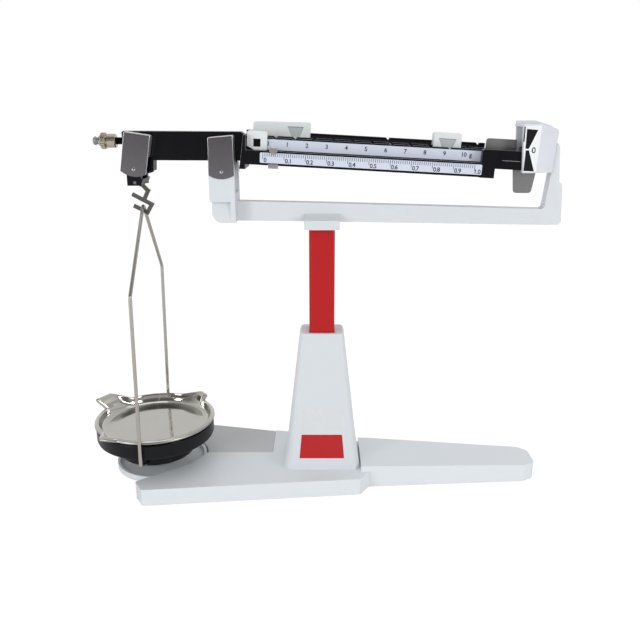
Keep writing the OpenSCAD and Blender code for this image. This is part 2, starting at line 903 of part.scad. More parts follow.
rod_seat = 12;
stop_w = 2.7;
stop_r = 3.2;
knob_slack = 1.9;
rod_reach = sleeve_gap + sleeve_w + knob_w + knob_slack;

module at_bar_end() {
    translate([fulcrum_x - bar_reach, 0, fulcrum_z + adjuster_rise]) rotate([0, -90, 0]) children();
}

module adjuster_rod() {
    color("#8d8a80") at_bar_end() {
        translate([0, 0, -rod_seat + 0.3]) cylinder(r = rod_r, h = rod_seat + rod_reach);
        translate([0, 0, rod_reach]) rotate_extrude() polygon([
            [0, 0],
            [2.2, 0],
            [stop_r, 0.8],
            [stop_r, stop_w - 0.9],
            [2.2, stop_w],
            [0, stop_w]
        ]);
    }
}

module zero_sleeve() {
    color("#b5aa94") at_bar_end() translate([0, 0, sleeve_gap]) difference() {
        rotate_extrude() polygon([
            [0, 0],
            [sleeve_r - 0.6, 0],
            [sleeve_r, 0.6],
            [sleeve_r, sleeve_w - 0.3],
            [sleeve_r - 0.3, sleeve_w],
            [0, sleeve_w]
        ]);
        translate([0, 0, -1]) cylinder(r = rod_r + fit, h = sleeve_w + 2);
    }
}

module zero_knob() {
    grooves = 24;
    color("#b5aa94") at_bar_end() translate([0, 0, sleeve_gap + sleeve_w + fit]) difference() {
        rotate_extrude() polygon([
            [0, 0],
            [sleeve_r - 0.9, 0],
            [sleeve_r - 0.9, 0.8],
            [knob_r - 0.5, 0.8],
            [knob_r, 1.3],
            [knob_r, knob_w - 2],
            [knob_r - 0.5, knob_w - 1.5],
            [knob_r - 2.4, knob_w - 0.8],
            [knob_r - 2.4, knob_w],
            [0, knob_w]
        ]);
        translate([0, 0, -1]) cylinder(r = rod_r + fit, h = knob_w + 2);
        for (i = [0:grooves - 1]) rotate([0, 0, i * 360 / grooves])
            translate([knob_r + 0.05, 0, 0.6]) cylinder(r = 0.35, h = knob_w, $fn = 6);
    }
}

// Poises

poise_10_x0 = notch_10 + 1.9 - poise_10_w / 2;
poise_100_x0 = notch_100 + 9 * notch_pitch - 1.2 - poise_100_w / 2;
poise_200_x0 = notch_200 - 33.6;

// Body of a poise that straddles a rail: front view outline, depth from y0 to y1
module poise(y0, y1, face, top, low) {
    difference() {
        slab(y0, y1) children();
        slab(face - plate_t - poise_gap, face + rail_t + poise_gap)
            translate([-10, low - 1]) square([100, top + poise_gap - low + 1]);
    }
}

module poise_10g() {
    w = poise_10_w;
    color("#e9edee") in_rails() translate([poise_10_x0, 0, 0]) difference() {
        poise(face_10 - plate_t - poise_gap - poise_wall, face_10 + rail_t + poise_gap + poise_wall,
              face_10, top_10, top_1)
            polygon(rounded([
                [0, 19.5, 0.6],
                [3.4, 17.9, 0.6],
                [5.4, 17, 0.6],
                [w, 17, 0.8],
                [w, 30.4, 1.5],
                [0, 30.4, 1.5]
            ]));
        slab(face_10 - 8, face_10) translate([4.7, 19.2]) square([5.3, 5.7]);
    }
}

// Tapered recess that frames a poise's index, cut into its front
module index_recess(x, low, high, half_low, half_high, y) {
    slab(y - 1, y + 1.2) polygon([
        [x - half_low, low],
        [x + half_low, low],
        [x + half_high, high],
        [x - half_high, high]
    ]);
}

poise_100_low = 18.5;
poise_100_high = 36.4;
poise_200_low = 21.5;
poise_200_high = 37.2;

module poise_100g() {
    w = poise_100_w;
    y0 = face_100 - plate_t - poise_gap - 2.8;
    y1 = face_100 + rail_t + poise_gap + 3.1;
    color("#e9edee") in_rails() translate([poise_100_x0, 0, 0]) difference() {
        poise(y0, y1, face_100, top_100, poise_100_low) polygon(rounded([
            [0, poise_100_low, 0.8],
            [w, poise_100_low, 0.8],
            [w, poise_100_high, 1.8],
            [0, poise_100_high, 1.8]
        ]));
        index_recess(w / 2, top_100 - 2, poise_100_high - 4.3, 4, 7, y0);
    }
}

module poise_200g() {
    w = poise_200_w;
    y0 = face_200 - plate_t - poise_gap - 1.9;
    y1 = face_200 + rail_t + poise_gap + 4.6;
    color("#e9edee") in_rails() translate([poise_200_x0, 0, 0]) difference() {
        poise(y0, y1, face_200, top_200, poise_200_low) polygon(rounded([
            [0, poise_200_low, 0.8],
            [w, poise_200_low, 0.8],
            [w, poise_200_high + 0.7, 1.5],
            [0, poise_200_high - 0.7, 1.5]
        ]));
        index_recess(notch_200 - poise_200_x0 - 1.5, top_200 - 3.5, poise_200_high - 3, 3, 6, y0);
    }
}

rider_x = 38.3;
rider_front = face_1 - plate_t - 0.4 - rider_t;
rider_back = face_1 + front_rail_t + 0.3 + rider_t;
rider_high = top_1 + 0.3 + 1.8;
rider_low = rail_low - 0.35 - 1.7;

module rider_1g() {
    half = rider_w / 2;
    color("#c9c6c2") in_rails() translate([rider_x, 0, 0]) {
        difference() {
            slab(rider_front, rider_back) translate([-half, rider_low])
                square([rider_w, rider_high - rider_low]);
            slab(rider_front + rider_t, rider_back - rider_t) translate([-half - 1, rail_low - 0.35])
                square([rider_w + 2, top_1 + 0.3 - rail_low + 0.35]);
            // The front is open below the pointed tip and above the lower lip
            slab(rider_front - 1, rider_front + rider_t + 0.1) polygon([
                [-half - 1, 7.9],
                [half + 1, 7.9],
                [half + 1, 16.6],
                [half - 0.6, 16.6],
                [0, 14],
                [-half + 0.6, 16.6],
                [-half - 1, 16.6]
            ]);
        }
    }
}

// Index end

index_z0 = fulcrum_z + index_low;
index_z1 = fulcrum_z + index_top;
housing_left_low = index_left + 2;
pad_w = 3.6;
fold_x = 160.5;
fold_back = 5.8;
rear_left = housing_left_low;
magnet_x0 = 150.5;
magnet_x1 = 160.5;

module index_front_outline() {
    polygon(rounded([
        [housing_left_low, index_z0, 0.8],
        [index_right - 2.6, index_z0, 1],
        [index_right + 0.4, index_z1 - 4, 2.5],
        [index_left + 14.5, index_z1 + 0.2, 0.5],
        [index_left, index_z1, 0.8]
    ]));
}

module index_rear_outline() {
    polygon(rounded([
        [rear_left, index_z0 + 6, 0.8],
        [index_right - 2.6, index_z0 + 6, 1],
        [index_right + 0.4, index_z1 - 2, 2.5],
        [index_left + 14.5, index_z1 + 2.2, 0.5],
        [rear_left - 1.5, index_z1 + 2.2, 0.8]
    ]));
}

// Side view of the housing's roof and right end, which stay clear of the upright's top
module index_roof_outline() {
    difference() {
        index_front_outline();
        polygon([
            [index_left - 5, index_z0 - 5],
            [index_right - 4.6, index_z0 - 5],
            [index_right - 2, index_z1 - 5.5],
            [index_left + 14.3, index_z1 - index_wall],
            [index_left - 5, index_z1 - index_wall]
        ]);
        translate([index_right - 12, index_z0 - 5]) square([20, upright_top + 0.4 - index_z0 + 5]);
    }
}

module housing_screw_holes(r) {
    for (z = [index_z0 + 9, index_z0 + 17]) translate([upright_inner + 8.5, index_back + 1, z])
        rotate([90, 0, 0]) cylinder(r = r, h = 8);
}

// What lies behind the housing's front, whose right part is folded back; set is its depth
module behind_front(set) {
    past = 5;
    slope = fold_back / (index_right - fold_x);
    translate([0, 0, index_z0 - 1]) linear_extrude(index_z1 - index_z0 + past) polygon([
        [index_left - past, index_front + set],
        [fold_x, index_front + set],
        [index_right + past, index_front + set + fold_back + past * slope],
        [index_right + past, index_back + 1],
        [index_left - past, index_back + 1]
    ]);
}

module index_housing() {
    color("#e4e9ec") difference() {
        intersection() {
            union() {
                difference() {
                    slab(index_front, -upright_half) index_front_outline();
                    behind_front(index_wall);
                }
                slab(index_back - index_wall, index_back) index_rear_outline();
                slab(index_front, index_back) index_roof_outline();
                // Pads that grip the upright
                for (y = [[index_front + index_wall - 0.1, -upright_half - 0.2],
                          [upright_half + 0.2, index_back - index_wall + 0.1]])
                    slab(y[0], y[1]) translate([index_right - 5.5, index_z0 + 7]) square([pad_w, 12]);
                // Ledge that the pointer rests on
                slab(index_front + 0.1, pointer_y + pointer_t + 1)
                    translate([housing_left_low + 0.2, index_z0]) square([2.4, 1.4]);
            }
            behind_front(0);
        }
        housing_screw_holes(1.3);
    }
}

module housing_screws() {
    color("#9aa0a6") for (z = [index_z0 + 9, index_z0 + 17])
        translate([upright_inner + 8.5, index_back + 1.2, z]) rotate([90, 0, 0]) {
            cylinder(r = 2.2, h = 1.2);
            cylinder(r = 1.2, h = index_back + 1.2 - upright_half - 0.1);
        }
}

module index_plate() {
    color("#f2f4f5") slab(index_front - 0.35, index_front) polygon([
        [housing_left_low + 0.6, index_z0 + 0.8],
        [index_left + 12.3, index_z0 + 0.8],
        [index_left + 13.6, index_z1 - 1],
        [index_left + 0.9, index_z1 - 1]
    ]);
}

module damper_magnets() {
    gap = 2.3;
    color("#4a4d52") {
        translate([magnet_x0, index_front + index_wall, index_z0 + 3])
            cube([magnet_x1 - magnet_x0, -gap - index_front - index_wall, 15]);
        translate([magnet_x0, vane_y + vane_t + gap, index_z0 + 8])
            cube([magnet_x1 - magnet_x0, index_back - index_wall - vane_t - gap - vane_y, 10]);
    }
}

// Stirrup and hook

stirrup_in = 6.9;
stirrup_out = 11.8;
stirrup_half = 5.6;
stirrup_low = -12;
pin_drop = 9.8;
pin_r = 1.2;
hook_half = 1.2;
stirrup_window = 3.5;
stirrup_high = 6;

module stirrup() {
    color("#1b1c20") at_pan_edge() difference() {
        union() {
            pair_y() slab(stirrup_in, stirrup_out) translate([-stirrup_half, stirrup_low])
                square([2 * stirrup_half, stirrup_high + 1 - stirrup_low]);
            slab(-stirrup_out, stirrup_out) polygon(rounded([
                [-5, stirrup_low, 0.6],
                [4, stirrup_low, 0.6],
                [9.6, -7.2, 0],
                [-5, -7.2, 0]
            ]));
        }
        // Windows for the knife and its bearings
        slab(-stirrup_out - 1, stirrup_out + 1) translate([-stirrup_window, -6.6])
            square([2 * stirrup_window, stirrup_high + 6.6]);
        // Slot of the hook's eye
        slab(-hook_half - 0.4, hook_half + 0.4) translate([-3.4, stirrup_low - 1]) square([8.9, 8]);
        translate([0, stirrup_out + 1, -pin_drop]) rotate([90, 0, 0])
            cylinder(r = pin_r + fit, h = 2 * stirrup_out + 2);
    }
}

module stirrup_bearings() {
    color("#8c3b34") at_pan_edge() pair_y() mirror([0, 0, 1])
        groove_block(stirrup_window - seat_gap, -stirrup_high + seat_gap, bearing_high,
                     stirrup_in + 0.2, stirrup_out - 0.6);
}

module stirrup_cover_front() {
    color("#b4b8bc") at_pan_edge() rotate([0, cover_lean, 0])
        cover(stirrup_out + 0.2, flange_y, stirrup_high + 4.5, 0);
}

module stirrup_cover_rear() {
    color("#b4b8bc") mirror([0, 1, 0]) at_pan_edge() rotate([0, cover_lean, 0])
        cover(stirrup_out + 0.2, flange_y, stirrup_high + 4.5, 0);
}

module hook_pin() {
    color("#b9bec3") at_pan_edge() translate([0, stirrup_out - 0.2, -pin_drop]) rotate([90, 0, 0])
        cylinder(r = pin_r, h = 2 * stirrup_out - 0.4);
}

// One straight limb of the stamped hook, in side view, w across
module limb(a, b, w) {
    along = unit(b - a) * w / 2;
    across = [-along[1], along[0]];
    polygon([a - along + across, b + along + across, b + along - across, a - along - across]);
}

hook_w = 2.9;
eye_w = 3.9;
hook_eye = [0, -pin_drop];
hook_a = [6.6, -16.9];
hook_m = [3.6, -22.9];
hook_b = [-4.4, -20.2];
hook_c = [8.8, -27.3];
hook_d = [-3.8, -28.9];
hook_e = [5.1, -33.4];
hook_top = unit(hook_a - hook_eye);

module hook() {
    color("#77756f") at_pan_edge() difference() {
        slab(-hook_half, hook_half) {
            limb(hook_eye - 0.3 * hook_top, hook_eye + 1.8 * hook_top, eye_w);
            limb(hook_eye + 1.8 * hook_top, hook_a, hook_w);
            limb(hook_a, hook_m, hook_w);
            limb(hook_b, hook_c, hook_w);
            limb(hook_c, hook_e, hook_w);
            limb(hook_e, hook_d, hook_w);
        }
        translate([0, hook_half + 1, -pin_drop]) rotate([90, 0, 0])
            cylinder(r = pin_r + fit, h = 2 * hook_half + 2);
    }
}

// Bow, holder and pan

bow_x = pan_edge_x + 2;
bow_z = pan_edge_z - bow_drop;
bow_half = pan_r + bow_gap;
bow_top_r = 3;
knee_r = 4;
toe_z = 33.6;
toe_r = 3;
toe_dip = 22;
toe_end = 28.5;

// The bow's middle line, as stations [[y, z], heading up from +Y], bending downwards only
function bend_end(p, heading, r, turn) =
    p + r * [sin(heading), -cos(heading)] + r * [-sin(heading - turn), cos(heading - turn)];

function bend(p, heading, r, turn, steps) =
    [for (i = [0:steps]) [bend_end(p, heading, r, turn * i / steps), heading - turn * i / steps]];

function ahead(p, heading, len) = p + len * [cos(heading), sin(heading)];

top_turn = 90 - bow_spread;
top_bend = bend([0, 0], 0, bow_top_r, top_turn, 4);
leg_start = top_bend[4][0];
leg_len = (bow_half - leg_start[0]) / sin(bow_spread) - knee_r * tan(bow_spread / 2);
knee_bend = bend(ahead(leg_start, -top_turn, leg_len), -top_turn, knee_r, bow_spread, 5);
knee_end = knee_bend[5][0];
toe_turn = 90 - toe_dip;
toe_bend = bend([knee_end[0], toe_z + toe_r - bow_z], -90, toe_r, toe_turn, 6);
toe_start = toe_bend[6][0];
toe_tip = toe_start - (toe_start[0] - toe_end) * [1, tan(toe_dip)];
half_bow = concat(top_bend, knee_bend, toe_bend, [[toe_tip, -90 - toe_turn]]);
bow_line = concat(
    [for (i = [len(half_bow) - 1:-1:1]) [[-half_bow[i][0][0], half_bow[i][0][1]], -half_bow[i][1]]],
    half_bow
);
wire_sides = 12;

function wire_ring(s) = [
    for (k = [0:wire_sides - 1])
        let (across = bow_wire_r * sin(k * 360 / wire_sides), up = bow_wire_r * cos(k * 360 / wire_sides))
        [across, s[0][0] - up * sin(s[1]), s[0][1] + up * cos(s[1])]
];

module bow_wire() {
    rings = len(bow_line);
    color("#b0aba3") translate([bow_x, 0, bow_z]) rotate([0, bow_lean, 0]) polyhedron(
        points = [for (s = bow_line) each wire_ring(s)],
        faces = concat(
            [[for (k = [0:wire_sides - 1]) k]],
            [[for (k = [wire_sides - 1:-1:0]) (rings - 1) * wire_sides + k]],
            [for (i = [0:rings - 2], k = [0:wire_sides - 1])
                let (a = i * wire_sides + k, b = i * wire_sides + (k + 1) % wire_sides)
                [a, a + wire_sides, b + wire_sides, b]]
        )
    );
}

pan_x = -140.8;
pan_floor = pan_rim_z - pan_h;
pan_floor_r = pan_r - 4.4;
tip_z = bow_z + toe_tip[1];
toe_x = bow_x - (bow_z - tip_z) * sin(bow_lean);
band_r = pan_r - 0.9;
band_low = 37;
band_high = pan_rim_z - 4.4;

module pan_holder() {
    seat = pan_floor - 0.3;
    color("#17181b") difference() {
        translate([pan_x, 0, 0]) rotate_extrude($fn = 128) polygon([
            [0, holder_z],
            [drum_r - 0.8, holder_z],
            [drum_r, holder_z + 0.8],
            [drum_r, band_low - 1.5],
            [band_r - 2.5, band_low],
            [band_r - 0.7, band_low + 0.7],
            [band_r, band_low + 2.5],
            [band_r, band_high - 0.4],
            [band_r - 0.4, band_high],
            [pan_r - 2, band_high],
            [pan_floor_r + 0.6, seat],
            [0, seat]
        ]);
        // Bores for the bow's toes
        pair_y() translate([toe_x, toe_end, tip_z]) rotate([toe_dip - 90, 0, 0])
            translate([0, 0, -0.5]) cylinder(r = bow_wire_r + 0.12, h = 20);
    }
}

// Ears of the pan: their roots on the rim as angles, their tips as [radius, angle, rise]
ear_left_root = [133, 158];
ear_left_tips = [[56.5, 146, 6.5], [58.5, 161, 6.5]];
ear_right_root = [47, 72];
ear_right_tips = [[50.6, 43.5, 4.2], [50.8, 50, 4.8]];
ear_t = 0.9;
spout_angle = -130;

module ear(root, tips) {
    hull() {
        for (a = root) rotate([0, 0, a]) translate([pan_r - 0.8, 0, -1]) cylinder(d = ear_t, h = ear_t, $fn = 8);
        for (t = tips) rotate([0, 0, t[1]]) translate([t[0], 0, t[2] - ear_t]) cylinder(d = ear_t, h = ear_t, $fn = 8);
    }
}

module spout() {
    difference() {
        rotate([90, 0, 0]) translate([0, 0, -7]) linear_extrude(14) polygon([
            [pan_r - 1.2, -1.6],
            [pan_r + 3.6, -0.6],
            [pan_r + 3.6, 0.2],
            [pan_r - 1.2, -0.1]
        ]);
        for (s = [-1, 1]) translate([pan_r + 4.2, 0, -3]) rotate([0, 0, s * 42])
            translate([-15, s > 0 ? 0 : -20, 0]) cube([40, 20, 8]);
    }
}

module pan() {
    color("#c3c1bd") translate([pan_x, 0, 0]) {
        rotate_extrude($fn = 128) polygon([
            [0, pan_floor],
            [pan_floor_r - 1, pan_floor],
            [pan_floor_r, pan_floor + 0.8],
            [pan_r - 0.5, pan_rim_z - 1],
            [pan_r, pan_rim_z - 0.8],
            [pan_r, pan_rim_z],
            [pan_r - 0.5 - pan_t, pan_rim_z],
            [pan_floor_r - pan_t, pan_floor + pan_t + 0.6],
            [pan_floor_r - pan_t - 0.8, pan_floor + pan_t],
            [0, pan_floor + pan_t]
        ]);
        translate([0, 0, pan_rim_z]) {
            ear(ear_left_root, ear_left_tips);
            ear(ear_right_root, ear_right_tips);
            rotate([0, 0, spout_angle]) spout();
        }
    }
}

// The origin is the middle of the object's reach, on the table: from the left ear's
// corner to the right upright, and from the front foot to the rear arm, both with round ends
front_round = 0.1;
back_round = 1.4;
left_reach = pan_x + ear_left_tips[1][0] * cos(ear_left_tips[1][1]) - ear_t / 2;
middle_x = (left_reach + upright_right) / 2;
middle_y = (rear_arm_back - back_round - foot_front + front_round) / 2;

module placed() {
    translate([-middle_x, -middle_y, 0]) children();
}

placed() base_casting();
placed() base_panel();
placed() rubber_feet();
placed() base_screws();
placed() pedestal();
placed() post();
placed() post_screws();
placed() bracket();
placed() fulcrum_bearings();
placed() fulcrum_cover_front();
placed() fulcrum_cover_rear();
placed() index_housing();
placed() index_plate();
placed() housing_screws();
placed() damper_magnets();
placed() beam_casting();
placed() fulcrum_knife();
placed() pan_knife();
placed() scale_1g();
placed() scale_10g();
placed() scale_100g();
placed() scale_200g();
placed() damping_vane();
placed() adjuster_rod();
placed() zero_sleeve();
placed() zero_knob();
placed() poise_200g();
placed() poise_100g();
placed() poise_10g();
placed() rider_1g();
placed() stirrup();
placed() stirrup_bearings();
placed() stirrup_cover_front();
placed() stirrup_cover_rear();
placed() hook_pin();
placed() hook();
placed() bow_wire();
placed() pan_holder();
placed() pan();
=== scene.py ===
import json
import math

import bpy
from mathutils import Matrix, Vector


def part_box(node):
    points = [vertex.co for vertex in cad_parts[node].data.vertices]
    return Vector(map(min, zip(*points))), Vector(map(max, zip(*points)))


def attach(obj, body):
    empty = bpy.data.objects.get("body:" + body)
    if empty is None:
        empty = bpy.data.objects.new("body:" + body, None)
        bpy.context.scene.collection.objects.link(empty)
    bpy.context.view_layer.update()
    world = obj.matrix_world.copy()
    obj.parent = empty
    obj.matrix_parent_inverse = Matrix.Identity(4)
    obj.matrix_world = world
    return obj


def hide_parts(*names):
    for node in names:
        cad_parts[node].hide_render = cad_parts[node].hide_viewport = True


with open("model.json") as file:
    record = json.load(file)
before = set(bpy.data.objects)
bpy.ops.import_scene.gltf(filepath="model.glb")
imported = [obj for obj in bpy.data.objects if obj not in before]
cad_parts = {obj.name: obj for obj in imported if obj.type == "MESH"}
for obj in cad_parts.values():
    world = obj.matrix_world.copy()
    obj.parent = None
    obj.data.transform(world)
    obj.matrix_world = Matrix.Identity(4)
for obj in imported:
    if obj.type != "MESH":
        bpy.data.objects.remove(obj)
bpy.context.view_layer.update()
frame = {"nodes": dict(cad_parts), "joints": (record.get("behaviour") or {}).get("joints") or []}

# Base casting
# A Y-shaped foot with the round pan platform, cast in one and finished in pale enamel.
# Its arrises are rounded by the casting and by the thick paint.
MM = 0.001
WELD = 0.00001
FLAT_DEGREES = 0.05
SMOOTH_DEGREES = 32


def linear(hex_colour):
    """An sRGB hex colour as linear RGBA."""
    parts = [int(hex_colour[i:i + 2], 16) / 255 for i in (1, 3, 5)]
    return [c / 12.92 if c <= 0.04045 else ((c + 0.055) / 1.055) ** 2.4 for c in parts] + [1.0]


def add(tree, kind, settings=None, links=None):
    """Adds a node: settings are its inputs or properties, links are its inputs' sources."""
    node = tree.nodes.new(kind)
    for name, value in (settings or {}).items():
        if isinstance(name, int) or name in node.inputs:
            node.inputs[name].default_value = value
        else:
            setattr(node, name, value)
    for name, source in (links or {}).items():
        tree.links.new(source, node.inputs[name])
    return node


def new_finish(name, colour, roughness, metallic=0.0, **shader):
    """A material with its Principled shader and the piece's own coordinates in millimetres."""
    material = bpy.data.materials.new(name)
    material.use_nodes = True
    tree = material.node_tree
    bsdf = tree.nodes["Principled BSDF"]
    bsdf.inputs["Base Color"].default_value = linear(colour)
    bsdf.inputs["Roughness"].default_value = roughness
    bsdf.inputs["Metallic"].default_value = metallic
    for key, value in shader.items():
        bsdf.inputs[key.replace("_", " ")].default_value = value
    coords = add(tree, "ShaderNodeTexCoord").outputs["Object"]
    mm = add(tree, "ShaderNodeMapping", {"Scale": (1 / MM, 1 / MM, 1 / MM)}, {"Vector": coords})
    return material, tree, bsdf, mm.outputs["Vector"]


def vary(tree, bsdf, pattern, colour, other, roughness, spread):
    """Lets a pattern take the colour to another one, and the gloss to either side of its own."""
    mix = add(tree, "ShaderNodeMix", {"data_type": "RGBA", 6: linear(colour), 7: linear(other)},
              {0: pattern})
    tree.links.new(mix.outputs[2], bsdf.inputs["Base Color"])
    gloss = add(tree, "ShaderNodeMapRange",
                {"To Min": roughness - spread, "To Max": roughness + spread}, {"Value": pattern})
    tree.links.new(gloss.outputs["Result"], bsdf.inputs["Roughness"])


def mottled(name, colour, other, patch_mm, roughness, spread, waves=None, metallic=0.0, **shader):
    """A finish with slow patches, and with waves of (width, height) in mm if it has any."""
    material, tree, bsdf, where = new_finish(name, colour, roughness, metallic, **shader)
    patches = add(tree, "ShaderNodeTexNoise", {"Scale": 1 / patch_mm, "Detail": 3.0},
                  {"Vector": where})
    vary(tree, bsdf, patches.outputs["Fac"], colour, other, roughness, spread)
    if waves:
        width, height = waves
        noise = add(tree, "ShaderNodeTexNoise", {"Scale": 1 / width, "Detail": 2.0},
                    {"Vector": where})
        bump = add(tree, "ShaderNodeBump", {"Strength": 1.0, "Distance": height * MM},
                   {"Height": noise.outputs["Fac"]})
        tree.links.new(bump.outputs["Normal"], bsdf.inputs["Normal"])
    return material


def enamel(name, colour, other, roughness=0.34):
    """Stoved enamel on cast metal: a smooth, slightly wavy skin with a soft gloss."""
    return mottled(name, colour, other, patch_mm=60, roughness=roughness, spread=0.05,
                   waves=(1.6, 0.006), Specular_IOR_Level=0.4)


def select_only(obj):
    for other in bpy.context.selected_objects:
        other.select_set(False)
    obj.select_set(True)
    bpy.context.view_layer.objects.active = obj


def copied(node, name):
    """A copy of a CAD piece, selected."""
    obj = bpy.data.objects.new(name, frame["nodes"][node].data.copy())
    bpy.context.scene.collection.objects.link(obj)
    select_only(obj)
    return obj


def merged():
    """Merges the doubled corners of the active piece, and the triangles of each flat face."""
    bpy.ops.object.mode_set(mode="EDIT")
    bpy.ops.mesh.select_all(action="SELECT")
    bpy.ops.mesh.remove_doubles(threshold=WELD)
    bpy.ops.mesh.dissolve_limited(angle_limit=math.radians(FLAT_DEGREES))
    bpy.ops.object.mode_set(mode="OBJECT")


def rounded(obj, edge_mm, steps, angle):
    """Bevels the edges that turn by more than an angle, and keeps the flat faces flat."""
    bevel = obj.modifiers.new("edges", "BEVEL")
    bevel.width = edge_mm * MM
    bevel.segments = steps
    bevel.limit_method = "ANGLE"
    bevel.angle_limit = math.radians(angle)
    bpy.ops.object.modifier_apply(modifier=bevel.name)
    bpy.ops.object.shade_smooth_by_angle(angle=math.radians(SMOOTH_DEGREES))
    normals = obj.modifiers.new("flat_faces", "WEIGHTED_NORMAL")
    normals.keep_sharp = True
    normals.weight = 100
    bpy.ops.object.modifier_apply(modifier=normals.name)


def softened(node, name, edge_mm, steps=3, angle=40, reshape=None):
    """A copy of a CAD piece with its sharp edges rounded; reshape moves its corners first."""
    obj = copied(node, name)
    for v in obj.data.vertices if reshape else ():
        reshape(v.co)
    merged()
    rounded(obj, edge_mm, steps, angle)
    return obj


def fitted(obj, material, body, slot, *nodes):
    """Gives a finished piece its material and its body, and hides the nodes that it stands for. The
    slot is not used.
    """
    obj.data.materials.clear()
    obj.data.materials.append(material)
    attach(obj, body)
    if nodes:
        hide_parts(*nodes)
    return obj


def dressed(node, material):
    """A CAD piece whose shape is right, with its material."""
    mesh = frame["nodes"][node].data
    mesh.materials.clear()
    mesh.materials.append(material)


# A cool pale grey with a soft gloss; the upper castings take a copy of it a little darker, which is
# painted shade
grey_enamel = enamel("pale_grey_stoved_enamel", "#e3e8ec", "#e0e6ea")
upper_shaded_enamel = enamel("pale_grey_enamel_with_painted_shade", "#d9dee2", "#d6dbe0")
base = softened("base_casting", "base_shell", 0.6)
fitted(base, grey_enamel, "stand", "grey_enamel", "base_casting")

# Panel of the rear arm
# A thin sheet laid in a shallow well of the casting.
# Mid grey and satin, darker than the arm round it: the grey is painted shade in the well
panel_shade_paint = mottled("grey_satin_sheet_with_painted_shade", "#c0c2c3", "#c8cacb", 30, 0.42, 0.04, (0.8, 0.004))
dressed("base_panel", panel_shade_paint)

# Rubber feet and screws
# Black moulded rubber discs pressed into the casting, and zinc-plated socket screws.
# The rubber is dull and dark, and the zinc has the small cloudy patches of its plating
rubber = mottled("moulded_black_rubber", "#1c1d1f", "#26272a", 4, 0.75, 0.08)
dressed("rubber_feet", rubber)
zinc = mottled("zinc_plated_steel", "#a9adb1", "#9a9fa5", 3, 0.35, 0.08, metallic=1.0)
for screw in ("base_screws", "post_screws", "housing_screws"):
    dressed(screw, zinc)

# Pedestal
# A hollow tapered casting in the same enamel, screwed to the base from below.
pedestal = softened("pedestal", "pedestal_shell", 0.8, angle=55)
# It takes the darker copy of the enamel, with its painted shade
fitted(pedestal, upper_shaded_enamel, "stand", "grey_enamel", "pedestal")

# Name plate on the pedestal
# A printed foil whose upper part is white and whose lower part is red, left bare.
# It lies on the pedestal's sloping front, and widens with it.
fulcrum = Vector(next(j for j in frame["joints"] if j["name"] == "beam_swing")["pos_m"])
post_low, post_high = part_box("post")
post_x = (post_low.x + post_high.x) / 2
mid_y = (post_low.y + post_high.y) / 2
# The front face at its foot and at its top: height, and depth ahead of the middle
FOOT_Z, FOOT_DEPTH = 27.2, 22.2
TOP_Z, TOP_DEPTH = 127.6, 14.0
# Height and half width of the foil's lower edge, of its colour change and of its upper edge
FOIL_EDGES = (25.2, 18.45), (45.9, 16.6), (67.0, 15.9)
FOIL_HALF_THICKNESS = 0.12
FOIL_CORNER = 0.08


def foil(name, low, high, material, slot):
    """One colour field of the foil between two of its edges."""
    bpy.ops.mesh.primitive_cube_add(size=1)
    obj = bpy.context.object
    obj.name = name
    for v in obj.data.vertices:
        z, half = high if v.co.z > 0 else low
        side = 1 if v.co.x > 0 else -1
        outward = -1 if v.co.y < 0 else 1
        depth = FOOT_DEPTH - (z - FOOT_Z) * (FOOT_DEPTH - TOP_DEPTH) / (TOP_Z - FOOT_Z)
        y = mid_y + (outward * FOIL_HALF_THICKNESS - depth) * MM
        v.co = (post_x + side * half * MM, y, z * MM)
    bevel = obj.modifiers.new("corners", "BEVEL")
    bevel.width = FOIL_CORNER * MM
    bevel.segments = 2
    select_only(obj)
    bpy.ops.object.modifier_apply(modifier=bevel.name)
    fitted(obj, material, "stand", slot)


# Both are flat colours with a thin gloss; the red is the post's, a little paler
white_foil = mottled("white_printed_foil", "#dbdfe1", "#d6dadc", 25, 0.28, 0.04)
red_foil = mottled("red_printed_foil", "#bc1115", "#b60e12", 20, 0.3, 0.04)
foil("name_plate_white", FOIL_EDGES[1], FOIL_EDGES[2], white_foil, "index_white")
foil("name_plate_red", FOIL_EDGES[0], FOIL_EDGES[1], red_foil, "red_enamel")

# Post
# A square steel tube with round corners in deep red enamel, the one strong colour of the object.
red_enamel = enamel("deep_red_stoved_enamel", "#bc060d", "#b4050b", 0.3)
dressed("post", red_enamel)

# Bracket
# One casting: the boss on the post, the arm, the fork under the fulcrum and the right upright.
# The upright's faces run level into the arm's, and its foot spreads outwards.
bracket_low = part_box("bracket")[0]
UPRIGHT_HALF, ARM_HALF = 5.5, 5.0
# Two rows of close corners at the upright's root: their left and right ends and their top, and
# the point where each row is drawn together, as x from the post and z from the bracket's foot
CLOSE_ROWS = [(160, 167, 3.5, (170, 2.3)), (160, 165, 15, (167.74, 14.46))]
# Where the upright's inner and outer edges begin, and the run to their full shift
INNER_EDGE, OUTER_EDGE = (156, 4), (172, 6)
TOE_Z, WAIST_Z, LOWER_RUN, UPPER_RUN = 6, 34, 27, 29
INNER_SHIFT, TOE_SHIFT, LOWER_LOSS, TOP_SHIFT = 3.2, 3.0, 2.4, -2.0


def ramp(value, start, run):
    """0 up to the start, 1 past the run after it, and a straight line between."""
    return max(0.0, min(1.0, (value - start) / run))


